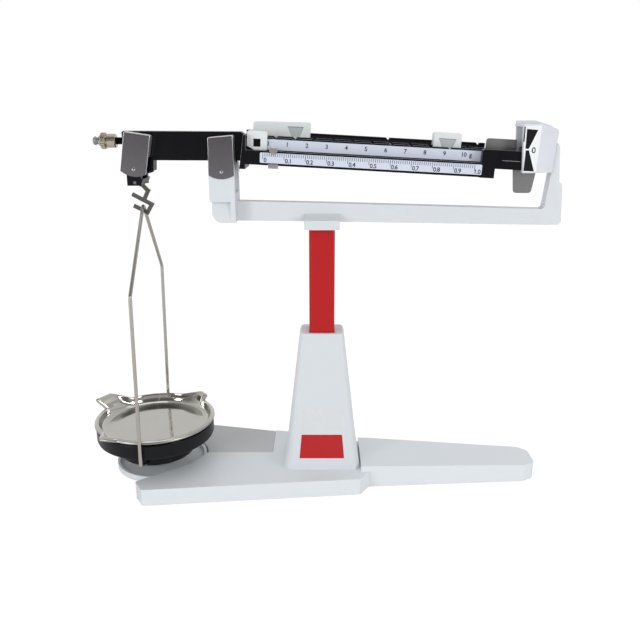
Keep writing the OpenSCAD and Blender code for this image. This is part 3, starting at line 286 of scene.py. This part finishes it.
def set_upright(co):
    """Brings the upright's faces level with the arm's and leans its foot outwards."""
    side = co.y - mid_y
    if abs(abs(side) - UPRIGHT_HALF * MM) < 0.05 * MM:
        co.y = mid_y + math.copysign(ARM_HALF * MM, side)
    x = (co.x - post_x) / MM
    z = (co.z - bracket_low.z) / MM
    for left, right, top, point in CLOSE_ROWS:
        if left < x < right and z < top:
            co.x, co.z = post_x + point[0] * MM, bracket_low.z + point[1] * MM
            return
    if z < WAIST_Z:
        outer = TOE_SHIFT - LOWER_LOSS * max(0.0, z - TOE_Z) / LOWER_RUN
    else:
        outer = TOP_SHIFT * (z - WAIST_Z) / UPPER_RUN
    share = ramp(x, *OUTER_EDGE)
    co.x += ((1 - share) * INNER_SHIFT * ramp(x, *INNER_EDGE) + share * outer) * MM


bracket = softened("bracket", "bracket_shell", 0.7, reshape=set_upright)
# It takes the darker copy of the enamel, with its painted shade
fitted(bracket, upper_shaded_enamel, "stand", "grey_enamel", "bracket")

# Agate bearings
# Small agate blocks, ground to a groove and polished, set in the fork's and stirrup's cheeks.
# Wavy brown bands and a bright polish set the stone apart from the metal round it
agate, tree, bsdf, where = new_finish("polished_agate", "#7c3a30", 0.12, Coat_Weight=0.4)
bands = add(tree, "ShaderNodeTexWave", {"Scale": 0.35, "Distortion": 6.0, "Detail": 3.0},
            {"Vector": where})
mix = add(tree, "ShaderNodeMix", {"data_type": "RGBA", 6: linear("#7c3a30"), 7: linear("#a8685a")},
          {0: bands.outputs["Fac"]})
tree.links.new(mix.outputs[2], bsdf.inputs["Base Color"])
dressed("fulcrum_bearings", agate)
dressed("stirrup_bearings", agate)

# Covers of the fulcrum and of the pan's knife
# Stamped stainless sheet with its edges turned in, brushed along its height.
GRAIN_HEIGHT, STRETCH, GLOSS_SPREAD = 0.004, 0.02, 0.08
BEND, SHEET_EDGE = 0.85, 0.12
# The stirrup's covers are wider at their top, and the bend stops above each cover's round foot
WIDER_TOP, COVER_HEIGHT, ROUND_FOOT = 1.2, 32, 9


def brushed(name, colour, other, roughness, along, grain_mm):
    """Brushed metal: streaks along one axis, drawn coarser than the real ones so that they show."""
    material, tree, bsdf, where = new_finish(name, colour, roughness, 1.0)
    stretch = [1 / grain_mm] * 3
    stretch[along] = STRETCH
    streaks = add(tree, "ShaderNodeMapping", {"Scale": stretch}, {"Vector": where})
    noise = add(tree, "ShaderNodeTexNoise", {"Scale": 1.0, "Detail": 4.0},
                {"Vector": streaks.outputs["Vector"]})
    vary(tree, bsdf, noise.outputs["Fac"], colour, other, roughness, GLOSS_SPREAD)
    bump = add(tree, "ShaderNodeBump", {"Strength": 1.0, "Distance": GRAIN_HEIGHT * MM},
               {"Height": noise.outputs["Fac"]})
    tree.links.new(bump.outputs["Normal"], bsdf.inputs["Normal"])
    return material


def sheet_cover(node, body):
    """A stamped cover: its front is flat, and it turns into its sides with a round bend."""
    obj = copied(node, node + "_sheet")
    merged()
    bpy.ops.object.mode_set(mode="EDIT")
    bpy.ops.mesh.select_all(action="DESELECT")
    bpy.ops.mesh.select_mode(type="EDGE")
    bpy.ops.object.mode_set(mode="OBJECT")
    # From the outside in: the tip of the dimple, its root, the front face
    depths = sorted({round(v.co.y / MM, 2) for v in obj.data.vertices},
                    key=lambda y: -abs(y - mid_y / MM))
    front_y = depths[2] * MM
    low_z = min(v.co.z for v in obj.data.vertices)
    middle = sum(v.co.x for v in obj.data.vertices) / len(obj.data.vertices)
    for v in obj.data.vertices:
        if body == "stirrup_body" and v.co.x > middle:
            v.co.x += WIDER_TOP * MM * (v.co.z - low_z) / (COVER_HEIGHT * MM)
    for e in obj.data.edges:
        a, b = (obj.data.vertices[i].co for i in e.vertices)
        e.select = (abs(a.y - front_y) < 0.02 * MM and abs(b.y - front_y) < 0.02 * MM
                    and max(a.z, b.z) > low_z + ROUND_FOOT * MM)
    bpy.ops.object.mode_set(mode="EDIT")
    bpy.ops.mesh.bevel(offset=BEND * MM, segments=5, affect="EDGES")
    bpy.ops.mesh.select_mode(type="VERT")
    bpy.ops.object.mode_set(mode="OBJECT")
    rounded(obj, SHEET_EDGE, 2, 50)
    fitted(obj, cover_steel, body, "cover_steel", node)
    # The faces of the bend take the painted highlight
    obj.data.materials.append(bend_highlight_steel)
    for face in obj.data.polygons:
        face.material_index = 0 if abs(face.normal.y) > 0.9 else 1


# The face is dark and streaked, and the bend round it is painted near white, a painted highlight
# that shows as a pale line
bend_highlight_steel = new_finish("painted_highlight_on_the_bend_of_the_cover", "#f4f3f2", 0.42, 1.0)[0]
cover_steel = brushed("brushed_stainless_cover", "#9c989d", "#89858b", 0.22, 2, 0.35)
for knife, body in (("fulcrum", "stand"), ("stirrup", "stirrup_body")):
    for end in ("front", "rear"):
        sheet_cover(f"{knife}_cover_{end}", body)

# Domes of the covers
# A dome pressed into the foot of each cover and polished, which stops the knife from creeping.
DOME = [(0, 1.0), (0.5, 0.95), (1.0, 0.74), (1.4, 0.4), (1.6, 0.12), (1.75, -0.1), (0, -0.1)]
DIMPLE_HEIGHT, DOME_STEPS = 0.4, 32


def empty_piece(name):
    """A piece whose mesh has nothing in it yet."""
    bpy.ops.mesh.primitive_plane_add(size=1)
    obj = bpy.context.object
    obj.name = name
    bpy.ops.object.mode_set(mode="EDIT")
    bpy.ops.mesh.select_all(action="SELECT")
    bpy.ops.mesh.delete(type="VERT")
    bpy.ops.object.mode_set(mode="OBJECT")
    return obj


def spun(name, profile_mm, steps):
    """A shape turned round the z axis from a profile of (radius, height) points."""
    obj = empty_piece(name)
    obj.data.vertices.add(len(profile_mm))
    for v, (r, z) in zip(obj.data.vertices, profile_mm):
        v.co = (r * MM, 0, z * MM)
    obj.data.edges.add(len(profile_mm) - 1)
    for i, e in enumerate(obj.data.edges):
        e.vertices = (i, i + 1)
    bpy.ops.object.mode_set(mode="EDIT")
    bpy.ops.mesh.select_all(action="SELECT")
    bpy.ops.mesh.spin(steps=steps, angle=math.radians(360), center=(0, 0, 0), axis=(0, 0, 1))
    bpy.ops.mesh.select_all(action="SELECT")
    bpy.ops.mesh.remove_doubles(threshold=WELD)
    bpy.ops.mesh.normals_make_consistent(inside=False)
    bpy.ops.object.mode_set(mode="OBJECT")
    return obj


# Mirror bright, so it shows as a small dark ring with a white spark
dome_steel = new_finish("polished_dome_steel", "#b2b0b0", 0.06, 1.0)[0]
for knife, body in (("fulcrum", "stand"), ("stirrup", "stirrup_body")):
    for end, side in (("front", -1), ("rear", 1)):
        dome = spun(f"{knife}_dome_{end}", DOME, DOME_STEPS)
        corners = [v.co for v in frame["nodes"][f"{knife}_cover_{end}"].data.vertices]
        far = max(side * c.y for c in corners)
        tip = [c for c in corners if abs(side * c.y - far) < 0.02 * MM]
        centre = sum(tip, Vector((0, 0, 0))) / len(tip)
        centre.y -= side * DIMPLE_HEIGHT * MM
        turned = Matrix.Rotation(math.radians(-90 * side), 4, "X")
        dome.data.transform(Matrix.Translation(centre) @ turned)
        select_only(dome)
        bpy.ops.object.shade_smooth_by_angle(angle=math.radians(60))
        fitted(dome, dome_steel, body, "cover_steel")

# Beam
# An aluminium casting in black enamel with steel knife edges let into it.
# The enamel is near black with a low gloss, and a pale grey painted highlight lies along its edges
# that face up and forward
black_enamel = mottled("black_stoved_enamel", "#0c0c10", "#0f0f14", 30, 0.24, 0.04, (1.2, 0.005),
                       Specular_IOR_Level=0.22)
edge_highlight_enamel = new_finish("painted_highlight_on_the_black_enamel_edges", "#8c8e94", 0.3)[0]
knife_low, knife_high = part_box("pan_knife")
edge_x, edge_z = (knife_low.x + knife_high.x) / 2, knife_high.z
LUG_RIGHT, LUG_ABOVE, LUG_TRIM = (10.5, 18.5), 9, 3.3
LEAST_TURN, HIGHLIGHT_REACH = 0.2, 60


def trim_lug(co):
    """Brings the right side of the pan's lug nearer to its knife."""
    if LUG_RIGHT[0] * MM < co.x - edge_x < LUG_RIGHT[1] * MM and co.z < edge_z + LUG_ABOVE * MM:
        co.x -= LUG_TRIM * MM


beam = softened("beam_casting", "beam_shell", 0.35, steps=2, reshape=trim_lug)
fitted(beam, black_enamel, "beam", "beam_black", "beam_casting")
beam.data.materials.append(edge_highlight_enamel)
# The bevels of the front that turn up, and near the fulcrum those that turn to an end, take the
# painted highlight
for face in beam.data.polygons:
    forward = -0.95 < face.normal.y < -LEAST_TURN
    upward = LEAST_TURN < face.normal.z < 0.97
    near = face.center.x < fulcrum.x + HIGHLIGHT_REACH * MM
    if forward and (upward or near and abs(face.normal.x) > LEAST_TURN):
        face.material_index = 1
# Fine streaks along the knife's edge show that it was ground
ground_steel = brushed("ground_knife_steel", "#9b9da0", "#8a8c90", 0.25, 1, 0.4)
for ground in ("fulcrum_knife", "pan_knife", "hook_pin"):
    dressed(ground, ground_steel)

# Scales
# Anodised plates on the fronts of the rails, printed with lines and plain figures.
# The plates are a bluish white with a satin skin, and the ink on them is matt black
scale_face = mottled("pale_anodised_scale", "#cfd6e6", "#d3dae9", 20, 0.35, 0.04)
ink = mottled("black_printing_ink", "#0d0e12", "#15161b", 6, 0.5, 0.05, Specular_IOR_Level=0.2)
dressed("scale_10g", scale_face)
rail_axis = Vector(next(j for j in frame["joints"] if j["name"] == "rider_slide")["axis"])
rail_tilt = math.atan2(-rail_axis.z, rail_axis.x)
to_rails = Matrix.Translation(fulcrum) @ Matrix.Rotation(rail_tilt, 4, "Y")
PLATE_END, PLATE_LONGER = 180, 1.8
one_gram_plate = softened("scale_1g", "one_gram_plate", 0.08, steps=1)
for v in one_gram_plate.data.vertices:
    if (v.co - fulcrum).dot(rail_axis) > PLATE_END * MM:
        v.co += rail_axis * PLATE_LONGER * MM
fitted(one_gram_plate, scale_face, "beam", "scale_pale", "scale_1g")
PRINT_THICKNESS, BOLDER, CLOSER = 0.03, 0.08, 0.94


def thickened(thickness_mm):
    """Gives the flat active piece its thickness, with its faces outwards."""
    bpy.ops.object.mode_set(mode="EDIT")
    bpy.ops.mesh.select_all(action="SELECT")
    bpy.ops.mesh.extrude_region_move(TRANSFORM_OT_translate={"value": (0, 0, thickness_mm * MM)})
    bpy.ops.mesh.select_all(action="SELECT")
    bpy.ops.mesh.normals_make_consistent(inside=False)
    bpy.ops.object.mode_set(mode="OBJECT")


def printed(name, strokes, texts, face_mm, body, slot, material, frame_of):
    """One mesh of print on a face: strokes (x, z, width, height) and texts (word, x, z, size)."""
    obj = empty_piece(name)
    bpy.ops.object.mode_set(mode="EDIT")
    for x, z, width, height in strokes:
        bpy.ops.mesh.primitive_plane_add(size=1, location=(0, 0, 0))
        bpy.ops.transform.resize(value=(width * MM, height * MM, 1), center_override=(0, 0, 0))
        bpy.ops.transform.translate(value=((x + width / 2) * MM, (z + height / 2) * MM, 0))
    bpy.ops.object.mode_set(mode="OBJECT")
    made = [obj]
    for word, x, z, size in texts:
        bpy.ops.object.text_add(location=(0, 0, 0))
        text = bpy.context.object
        text.data.body = word
        text.data.size = size * MM
        text.data.resolution_u = 4
        text.data.space_character = CLOSER
        text.data.offset = BOLDER * MM
        text.data.align_x = "LEFT"
        select_only(text)
        bpy.ops.object.convert(target="MESH")
        text = bpy.context.object
        text.data.transform(Matrix.Translation((x * MM, z * MM, 0)))
        made.append(text)
    for part in made:
        part.select_set(True)
    bpy.context.view_layer.objects.active = obj
    if len(made) > 1:
        bpy.ops.object.join()
    thickened(PRINT_THICKNESS)
    stand_up = Matrix.Rotation(math.radians(90), 4, "X")
    obj.data.transform(frame_of @ Matrix.Translation((0, face_mm * MM, 0)) @ stand_up)
    fitted(obj, material, body, slot)


# Each rail's face, ahead of the fulcrum (-) or behind it, and its zero along the rail
ONE_GRAM_FACE, TEN_GRAM_FACE, HUNDRED_FACE, TWO_HUNDRED_FACE = -17.3, -9.3, 0.7, 10.7
ONE_GRAM_ZERO, TEN_GRAM_ZERO, HUNDRED_ZERO = 30.1, 32.6, 38.6
ONE_GRAM_STEP, TEN_GRAM_STEP, HUNDRED_STEP = 1.553, 14.55, 14.4
# The real lines are finer: these are as coarse as they need to be to show
LINE_WIDTH, LONG_LINE, SHORT_LINE, LINE_TOP = 0.36, 4.3, 2.4, 15.4
# How high the figures stand over the fulcrum, and how tall they are
ONE_GRAM_FEET, TEN_GRAM_FEET, HUNDRED_FEET, TWO_HUNDRED_FEET = 9.0, 20.3, 20.4, 23.4
FIGURE, REAR_FIGURE, GRAM_SIGN = 4.4, 3.6, 149.5
one_gram_lines = []
for i in range(101):
    length = SHORT_LINE if i % 10 else LONG_LINE
    one_gram_lines.append((ONE_GRAM_ZERO + i * ONE_GRAM_STEP - LINE_WIDTH / 2, LINE_TOP - length,
                           LINE_WIDTH, length))
one_gram_figures = []
ten_gram_figures = []
for i in range(11):
    # The last figure of each plate stands a little further left, to stay on the plate
    word = f"{i / 10:.1f}" if i else "0"
    x = ONE_GRAM_ZERO + i * 10 * ONE_GRAM_STEP + (0.7 if i < 10 else -0.4)
    one_gram_figures.append((word, x, ONE_GRAM_FEET, FIGURE))
    x = TEN_GRAM_ZERO + i * TEN_GRAM_STEP - (1.0 if i < 10 else 2.3)
    ten_gram_figures.append((str(i), x, TEN_GRAM_FEET, FIGURE))
ten_gram_figures.append(("g", TEN_GRAM_ZERO + GRAM_SIGN, TEN_GRAM_FEET, FIGURE))
printed("one_gram_print", one_gram_lines, one_gram_figures, ONE_GRAM_FACE, "beam", "beam_black",
        ink, to_rails)
printed("ten_gram_print", [], ten_gram_figures, TEN_GRAM_FACE, "beam", "beam_black", ink, to_rails)

# Scales of the two rear rails
# Black anodised strips with white figures, low behind the front rails.
# They stay nearly as dark as the beam, and the figures are an off-white that has dulled
dark_scale = mottled("black_anodised_scale", "#1b1c20", "#222328", 20, 0.3, 0.04,
                     Specular_IOR_Level=0.35)
dressed("scale_100g", dark_scale)
dressed("scale_200g", dark_scale)
white_ink = mottled("white_printing_ink", "#d5d7da", "#c6c8cb", 6, 0.5, 0.05)
hundred_figures = []
for i in range(11):
    word = str(10 * i)
    x = HUNDRED_ZERO + i * HUNDRED_STEP - len(word)
    hundred_figures.append((word, x, HUNDRED_FEET, REAR_FIGURE))
printed("hundred_gram_print", [], hundred_figures, HUNDRED_FACE, "beam", "scale_pale", white_ink,
        to_rails)
two_hundred_figures = [(word, x, TWO_HUNDRED_FEET, REAR_FIGURE)
                       for word, x in (("0", 53.6), ("100", 120.6), ("200", 187.0))]
printed("two_hundred_gram_print", [], two_hundred_figures, TWO_HUNDRED_FACE, "beam", "scale_pale",
        white_ink, to_rails)

# Pointer line
# A thin grey-white line along the pointer's black end.
white_line = mottled("grey_white_line_on_the_pointer", "#a4a6aa", "#96989c", 5, 0.5, 0.05)
printed("pointer_line", [(207, 18.85, 13.5, 0.3)], [], TEN_GRAM_FACE, "beam", "index_white",
        white_line, to_rails)

# Damping vane
# A sheet of rolled aluminium that swings between two sintered magnets.
# The sheet is a soft grey with its rolling lines along it, and the magnets are dull and grainy
vane_metal = brushed("rolled_aluminium", "#8f8f90", "#9b9b9c", 0.42, 0, 0.5)
dressed("damping_vane", vane_metal)
ferrite = mottled("sintered_ferrite", "#37393d", "#2c2e31", 3, 0.6, 0.08)
dressed("damper_magnets", ferrite)

# Zero adjuster
# A blackened threaded rod with a lock sleeve and a knurled knob of nickel-plated brass.
# The nickel is bright and slightly warm, and the brass under it shows as faint patches
nickel = mottled("nickel_plated_brass", "#d3cab8", "#bdb4a2", 2, 0.24, 0.08, metallic=1.0)
dressed("zero_sleeve", nickel)
dressed("zero_knob", nickel)
# Dark ridges of thread along the rod, and bare bright steel at its end
BARE_END, THREAD_DEPTH = 4.2, 0.3
black_steel, tree, bsdf, where = new_finish("blackened_steel_thread", "#2a2926", 0.4, 1.0)
thread = add(tree, "ShaderNodeTexWave", {"Scale": 0.7, "bands_direction": "X"}, {"Vector": where})
bump = add(tree, "ShaderNodeBump", {"Strength": 1.0, "Distance": THREAD_DEPTH * MM},
           {"Height": thread.outputs["Fac"]})
tree.links.new(bump.outputs["Normal"], bsdf.inputs["Normal"])
place = add(tree, "ShaderNodeSeparateXYZ", {}, {"Vector": where})
end = add(tree, "ShaderNodeMath",
          {"operation": "LESS_THAN", 1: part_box("adjuster_rod")[0].x / MM + BARE_END},
          {0: place.outputs["X"]})
bare = add(tree, "ShaderNodeMix", {"data_type": "RGBA", 6: linear("#2a2926"), 7: linear("#c3c8cd")},
           {0: end.outputs["Value"]})
tree.links.new(bare.outputs[2], bsdf.inputs["Base Color"])
dressed("adjuster_rod", black_steel)

# Poises
# Die castings in white enamel that straddle the rails; the two big ones have a pocket in front.
# The enamel is a soft white, and the pockets are painted greyer as shade
poise_enamel = enamel("white_stoved_enamel", "#e2e6e7", "#dee3e4", 0.36)
pocket_shade_enamel = enamel("painted_shade_in_the_pocket", "#bcc2c4", "#b6bcbe", 0.4)
# How far the pocket's faces lie behind the front, from the ends and below the top
POCKET_SHALLOW, POCKET_DEEP, POCKET_SIDE, POCKET_TOP = 0.25, 2.5, 2, 1.5
for node, body, slim in (("poise_200g", "poise_200_body", 1.0),
                         ("poise_100g", "poise_100_body", 0.93),
                         ("poise_10g", "poise_10_body", 1.0)):
    low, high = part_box(node)
    middle = (low.x + high.x) / 2

    def narrow_poise(co):
        """Brings the casting's ends in towards its middle."""
        co.x = middle + (co.x - middle) * slim

    poise = softened(node, node + "_shell", 0.4, reshape=narrow_poise)
    fitted(poise, poise_enamel, body, "poise_white", node)
    if node == "poise_10g":
        continue
    # Faces sunk in the pocket take the painted shade
    poise.data.materials.append(pocket_shade_enamel)
    for face in poise.data.polygons:
        c = face.center
        sunk = POCKET_SHALLOW * MM < c.y - low.y < POCKET_DEEP * MM and face.normal.y < -0.1
        inside = low.x + POCKET_SIDE * MM < c.x < high.x - POCKET_SIDE * MM
        if sunk and inside and c.z < high.z - POCKET_TOP * MM:
            face.material_index = 1

# Rider
# A strip of stainless steel bent round the front rail, with a pointed tip over the scale.
# Pale and finely brushed, so it stays bright against the scale
rider_steel = brushed("bent_stainless_strip", "#d8d5d1", "#c6c3bf", 0.3, 2, 0.3)
rider_low, rider_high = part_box("rider_1g")
HEAD_HEIGHT, HEAD_WIDTH, HEAD_SHIFT = 7, 0.8, 0.5


def taper_tip(co):
    """Narrows the strip's head, whose point reads the scale."""
    middle = (rider_low.x + rider_high.x) / 2
    width = HEAD_WIDTH if co.z > rider_high.z - HEAD_HEIGHT * MM else 1.0
    co.x = middle + (co.x - middle) * width - HEAD_SHIFT * MM


rider = softened("rider_1g", "rider_strip", 0.15, steps=2, reshape=taper_tip)
fitted(rider, rider_steel, "rider_body", "rider_steel", "rider_1g")

# Index housing
# A moulded shell in white enamel round the end of the beam, screwed to the upright.
# Its white is a touch bluer than the poises'
housing_enamel = enamel("white_housing_enamel", "#d6d9e0", "#d2d6dd", 0.36)
housing = softened("index_housing", "index_shell", 0.6)
fitted(housing, housing_enamel, "stand", "housing_white", "index_housing")

# Index plate
# A white printed sheet with two black wedges that point at the zero gap.
# The whitest surface of the object, and satin
plate_white = mottled("white_index_sheet", "#f0f3f5", "#eaeef1", 20, 0.35, 0.04)
dressed("index_plate", plate_white)
plate_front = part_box("index_plate")[0].y
WEDGE_THICKNESS = 0.04


def wedge(name, corners_mm):
    """A flat black wedge on the index plate; corners are (x, z) from the post's axis."""
    bpy.ops.mesh.primitive_plane_add(size=1)
    obj = bpy.context.object
    obj.name = name
    corners = obj.data.vertices
    order = sorted(range(4), key=lambda i: math.atan2(corners[i].co.y, corners[i].co.x))
    for i, (x, z) in zip(order, corners_mm):
        corners[i].co = (post_x + x * MM, z * MM, 0)
    select_only(obj)
    thickened(WEDGE_THICKNESS)
    stand_up = Matrix.Rotation(math.radians(90), 4, "X")
    obj.data.transform(Matrix.Translation((0, plate_front, 0)) @ stand_up)
    fitted(obj, ink, "stand", "beam_black")


wedge("index_wedge_upper", [(149.2, 273.6), (151.7, 273.6), (157.4, 286.9), (149.2, 287.6)])
wedge("index_wedge_lower", [(149.1, 257.6), (156.9, 257.3), (151.9, 272.4), (149.6, 272.4)])
# A thin strip of black ink at the plate's left edge is painted shadow of the gap behind it
wedge("index_slot_shadow", [(147.3, 278.6), (148.1, 278.6), (148.1, 289.3), (147.3, 289.3)])
printed("index_zero", [], [("0", 153.9, 270.5, 6.0)], -12.35, "stand", "beam_black", ink,
        Matrix.Translation((post_x, mid_y, 0)))

# Stirrup
# A black enamelled yoke that hangs on the pan's knife edge and holds the hook's pin.
YOKE_RIGHT, YOKE_DRAW = 4.5, 0.35
SILL_HALF, SILL_BELOW, SILL_LIFT = 4, 6.6, 1.6


def narrow_yoke(co):
    """Draws the yoke's right end in and lifts the sill of its windows."""
    if co.x > edge_x + YOKE_RIGHT * MM:
        co.x = edge_x + YOKE_RIGHT * MM + (co.x - edge_x - YOKE_RIGHT * MM) * YOKE_DRAW
    if abs(co.x - edge_x) < SILL_HALF * MM and abs(co.z - edge_z + SILL_BELOW * MM) < 0.1 * MM:
        co.z += SILL_LIFT * MM


yoke = softened("stirrup", "stirrup_yoke", 0.12, steps=1, reshape=narrow_yoke)
fitted(yoke, black_enamel, "stirrup_body", "stirrup_black", "stirrup")

# Hook
# Stamped from steel strip, with slots for the bow; a darker, browner steel than the wire's.
dark_steel = brushed("stamped_dark_steel", "#7c7771", "#6c6762", 0.34, 0, 0.4)
hook = softened("hook", "hook_stamping", 0.3)
fitted(hook, dark_steel, "hook_body", "wire_steel", "hook")

# Bow
# Drawn steel wire bent over the hook, down both sides of the pan and into the holder.
# Bright and warm, with the drawing lines along it
WIRE_THICKER = 0.42
wire_metal = brushed("drawn_steel_wire", "#d2ccc4", "#bdb7af", 0.24, 2, 0.3)
bow = copied("bow_wire", "bow_bent_wire")
bpy.ops.object.mode_set(mode="EDIT")
bpy.ops.mesh.select_all(action="SELECT")
bpy.ops.mesh.remove_doubles(threshold=WELD)
bpy.ops.transform.shrink_fatten(value=WIRE_THICKER * MM)
bpy.ops.object.mode_set(mode="OBJECT")
bpy.ops.object.shade_smooth_by_angle(angle=math.radians(50))
fitted(bow, wire_metal, "hanger", "wire_steel", "bow_wire")

# Pan holder
# A drum of black plastic with a dished rim, moulded and lightly grained, with a low gloss.
black_plastic = mottled("black_moulded_plastic", "#0d0e12", "#101116", 15, 0.3, 0.04, (1.0, 0.003),
                        Specular_IOR_Level=0.24)
holder = softened("pan_holder", "holder_turning", 0.3, steps=2)
fitted(holder, black_plastic, "hanger", "holder_black", "pan_holder")

# Pan
# Spun from polished stainless sheet, with a pouring lip and two turned-up ears.
# The sheet is a mirror with a warm cast, and its outer rim is satin from handling
polished = mottled("polished_stainless_sheet", "#d2d0ca", "#cac8c2", 20, 0.08, 0.02, metallic=1.0)
satin = new_finish("satin_rim_of_the_pan", "#b8b5b0", 0.38, 1.0)[0]
holder_low, holder_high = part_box("pan_holder")
centre_x = (holder_low.x + holder_high.x) / 2
WALL_FOOT, LIP, OUTER_R, PAN_STEPS = 43.0, 47.2, 49.4, 240
PAN_PROFILE = [(0.0, 45.8), (20.0, 45.8), (34.0, 45.8), (40.0, 45.95), (42.0, 46.2),
               (WALL_FOOT, 46.6), (44.2, 47.3), (44.8, 48.3), (45.2, 49.6), (45.5, 51.2),
               (45.8, 52.8), (46.0, 53.7), (46.4, 54.0), (47.0, 53.95), (48.2, 53.5),
               (49.0, 53.15), (49.3, 52.8), (OUTER_R, 51.6)]
SHEET = 0.6
SATIN_FROM, SATIN_BELOW = 49.0, 54
# Each ear's root on the rim in degrees, and its free edge as radius, angle and rise
EARS = [(158, 133, (57.6, 161, 6.6), (56.0, 146, 6.6)),
        (47, 70, (50.6, 43.5, 4.2), (50.8, 51, 5.0))]
EAR_EASE = 0.16
# The pouring lip: where it points, its half widths in degrees, and how far it goes out and up
SPOUT_AT, SPOUT_LEFT, SPOUT_RIGHT, SPOUT_OUT, SPOUT_UP = -128, 9, 15, 6.6, 0.9


def on_rim(radius, angle, rise):
    turn = math.radians(angle)
    return Vector((radius * math.cos(turn), radius * math.sin(turn), rise)) * MM


pan = spun("pan_spinning", PAN_PROFILE, PAN_STEPS)
for v in pan.data.vertices:
    r = math.hypot(v.co.x, v.co.y) / MM
    if r <= WALL_FOOT:
        continue
    angle = math.degrees(math.atan2(v.co.y, v.co.x))
    reach = ramp(r, WALL_FOOT, LIP - WALL_FOOT)
    shift = Vector((0, 0, 0))
    for first, last, tip_a, tip_b in EARS:
        along = (angle - first) / (last - first)
        t = ramp(abs(along - 0.5), 0.5, EAR_EASE)
        weight = 1 - t * t * (3 - 2 * t)
        along = max(0.0, min(1.0, along))
        free = on_rim(*tip_a).lerp(on_rim(*tip_b), along)
        root = on_rim(LIP, first + (last - first) * along, 0)
        shift += (free - root) * weight * reach ** 1.1
    turn = (angle - SPOUT_AT + 180) % 360 - 180
    weight = max(0.0, 1 - abs(turn) / (SPOUT_LEFT if turn < 0 else SPOUT_RIGHT)) * reach
    shift += on_rim(SPOUT_OUT, angle, SPOUT_UP) * weight
    v.co += shift
pan.data.transform(Matrix.Translation((centre_x, mid_y, 0)))
solid = pan.modifiers.new("sheet", "SOLIDIFY")
solid.thickness = SHEET * MM
solid.offset = -1
select_only(pan)
bpy.ops.object.modifier_apply(modifier=solid.name)
bpy.ops.object.shade_smooth_by_angle(angle=math.radians(50))
fitted(pan, polished, "pan_body", "pan_steel", "pan")
pan.data.materials.append(satin)
for face in pan.data.polygons:
    outer = math.hypot(face.center.x - centre_x, face.center.y - mid_y) > SATIN_FROM * MM
    if outer and face.center.z < SATIN_BELOW * MM:
        face.material_index = 1

# Floor and light
# A plain white table that keeps the object's soft shadow, and a white surround.
# Two soft boxes stand in front at the sides and one hangs above.
bpy.ops.mesh.primitive_plane_add(size=8)
floor = bpy.context.object
floor.name = "table"
table_paint = bpy.data.materials.new("white_table")
table_paint.use_nodes = True
tree = table_paint.node_tree
tree.nodes.remove(tree.nodes["Principled BSDF"])
seen = add(tree, "ShaderNodeLightPath")
plain = add(tree, "ShaderNodeBsdfDiffuse", {"Color": (0.8, 0.8, 0.8, 1)})
faint = add(tree, "ShaderNodeBsdfDiffuse", {"Color": (0.16, 0.16, 0.16, 1)})
glow = add(tree, "ShaderNodeEmission", {"Color": (1, 1, 1, 1), "Strength": 0.93})
bright = add(tree, "ShaderNodeAddShader", {}, {0: faint.outputs[0], 1: glow.outputs[0]})
either = add(tree, "ShaderNodeMixShader", {},
             {0: seen.outputs["Is Camera Ray"], 1: plain.outputs[0], 2: bright.outputs[0]})
tree.links.new(either.outputs[0], tree.nodes["Material Output"].inputs["Surface"])
floor.data.materials.append(table_paint)

world = bpy.data.worlds.new("white_surround")
bpy.context.scene.world = world
world.use_nodes = True
tree = world.node_tree
tree.nodes.clear()
direction = add(tree, "ShaderNodeTexCoord").outputs["Generated"]
height = add(tree, "ShaderNodeSeparateXYZ", {}, {"Vector": direction})
# Paler at the horizon than overhead
above = add(tree, "ShaderNodeMapRange",
            {"From Min": 0.0, "From Max": 0.8, "To Min": 0.88, "To Max": 0.6},
            {"Value": height.outputs["Z"]})
# The polished metal reflects a dark room in front of the balance
behind = add(tree, "ShaderNodeMapRange",
             {"From Min": -0.6, "From Max": 0.1, "To Min": 0.18, "To Max": 1.0},
             {"Value": height.outputs["Y"]})
seen = add(tree, "ShaderNodeLightPath")
shaded = add(tree, "ShaderNodeMix", {"data_type": "FLOAT", 2: 1.0},
             {0: seen.outputs["Is Glossy Ray"], 3: behind.outputs["Result"]})
level = add(tree, "ShaderNodeMath", {"operation": "MULTIPLY"},
            {0: above.outputs["Result"], 1: shaded.outputs["Result"]})
backdrop = add(tree, "ShaderNodeMix", {"data_type": "RGBA", 7: (1, 1, 1, 1)},
               {0: seen.outputs["Is Camera Ray"], 6: level.outputs["Value"]})
surround = add(tree, "ShaderNodeBackground", {"Strength": 1.0}, {"Color": backdrop.outputs[2]})
add(tree, "ShaderNodeOutputWorld", {}, {"Surface": surround.outputs[0]})


def lamp(name, place, aim, width, tall, power):
    """A soft box at a place, turned towards a point."""
    bpy.ops.object.light_add(type="AREA", location=place)
    light = bpy.context.object
    light.name = name
    light.data.shape = "RECTANGLE"
    light.data.size = width
    light.data.size_y = tall
    light.data.energy = power
    light.rotation_euler = (Vector(aim) - Vector(place)).to_track_quat("-Z", "Y").to_euler()


lamp("soft_box_left", (-1.1, -1.15, 0.52), (0, 0, 0.12), 0.45, 0.8, 6.4)
lamp("soft_box_right", (1.15, -1.1, 0.52), (0, 0, 0.12), 0.45, 0.8, 6)
lamp("soft_box_top", (0, 0.1, 1.6), (0, 0, 0.1), 1.0, 1.0, 2)

# Camera
# It stands in front of the post, a little above the beam, and looks down at the balance.
CAMERA_LEFT, CAMERA_BACK, CAMERA_UP = 1.5, 526, 302
LOOKS_DOWN = 17.3
SENSOR, FOCAL_PIXELS, PICTURE_PIXELS = 36, 680, 640
bpy.ops.object.camera_add(
    location=(post_x - CAMERA_LEFT * MM, mid_y - CAMERA_BACK * MM, CAMERA_UP * MM),
    rotation=(math.radians(90 - LOOKS_DOWN), 0, 0))
camera = bpy.context.object
camera.data.sensor_width = SENSOR
camera.data.lens = SENSOR * FOCAL_PIXELS / PICTURE_PIXELS
bpy.context.scene.camera = camera
bpy.context.scene.view_settings.view_transform = "Standard"
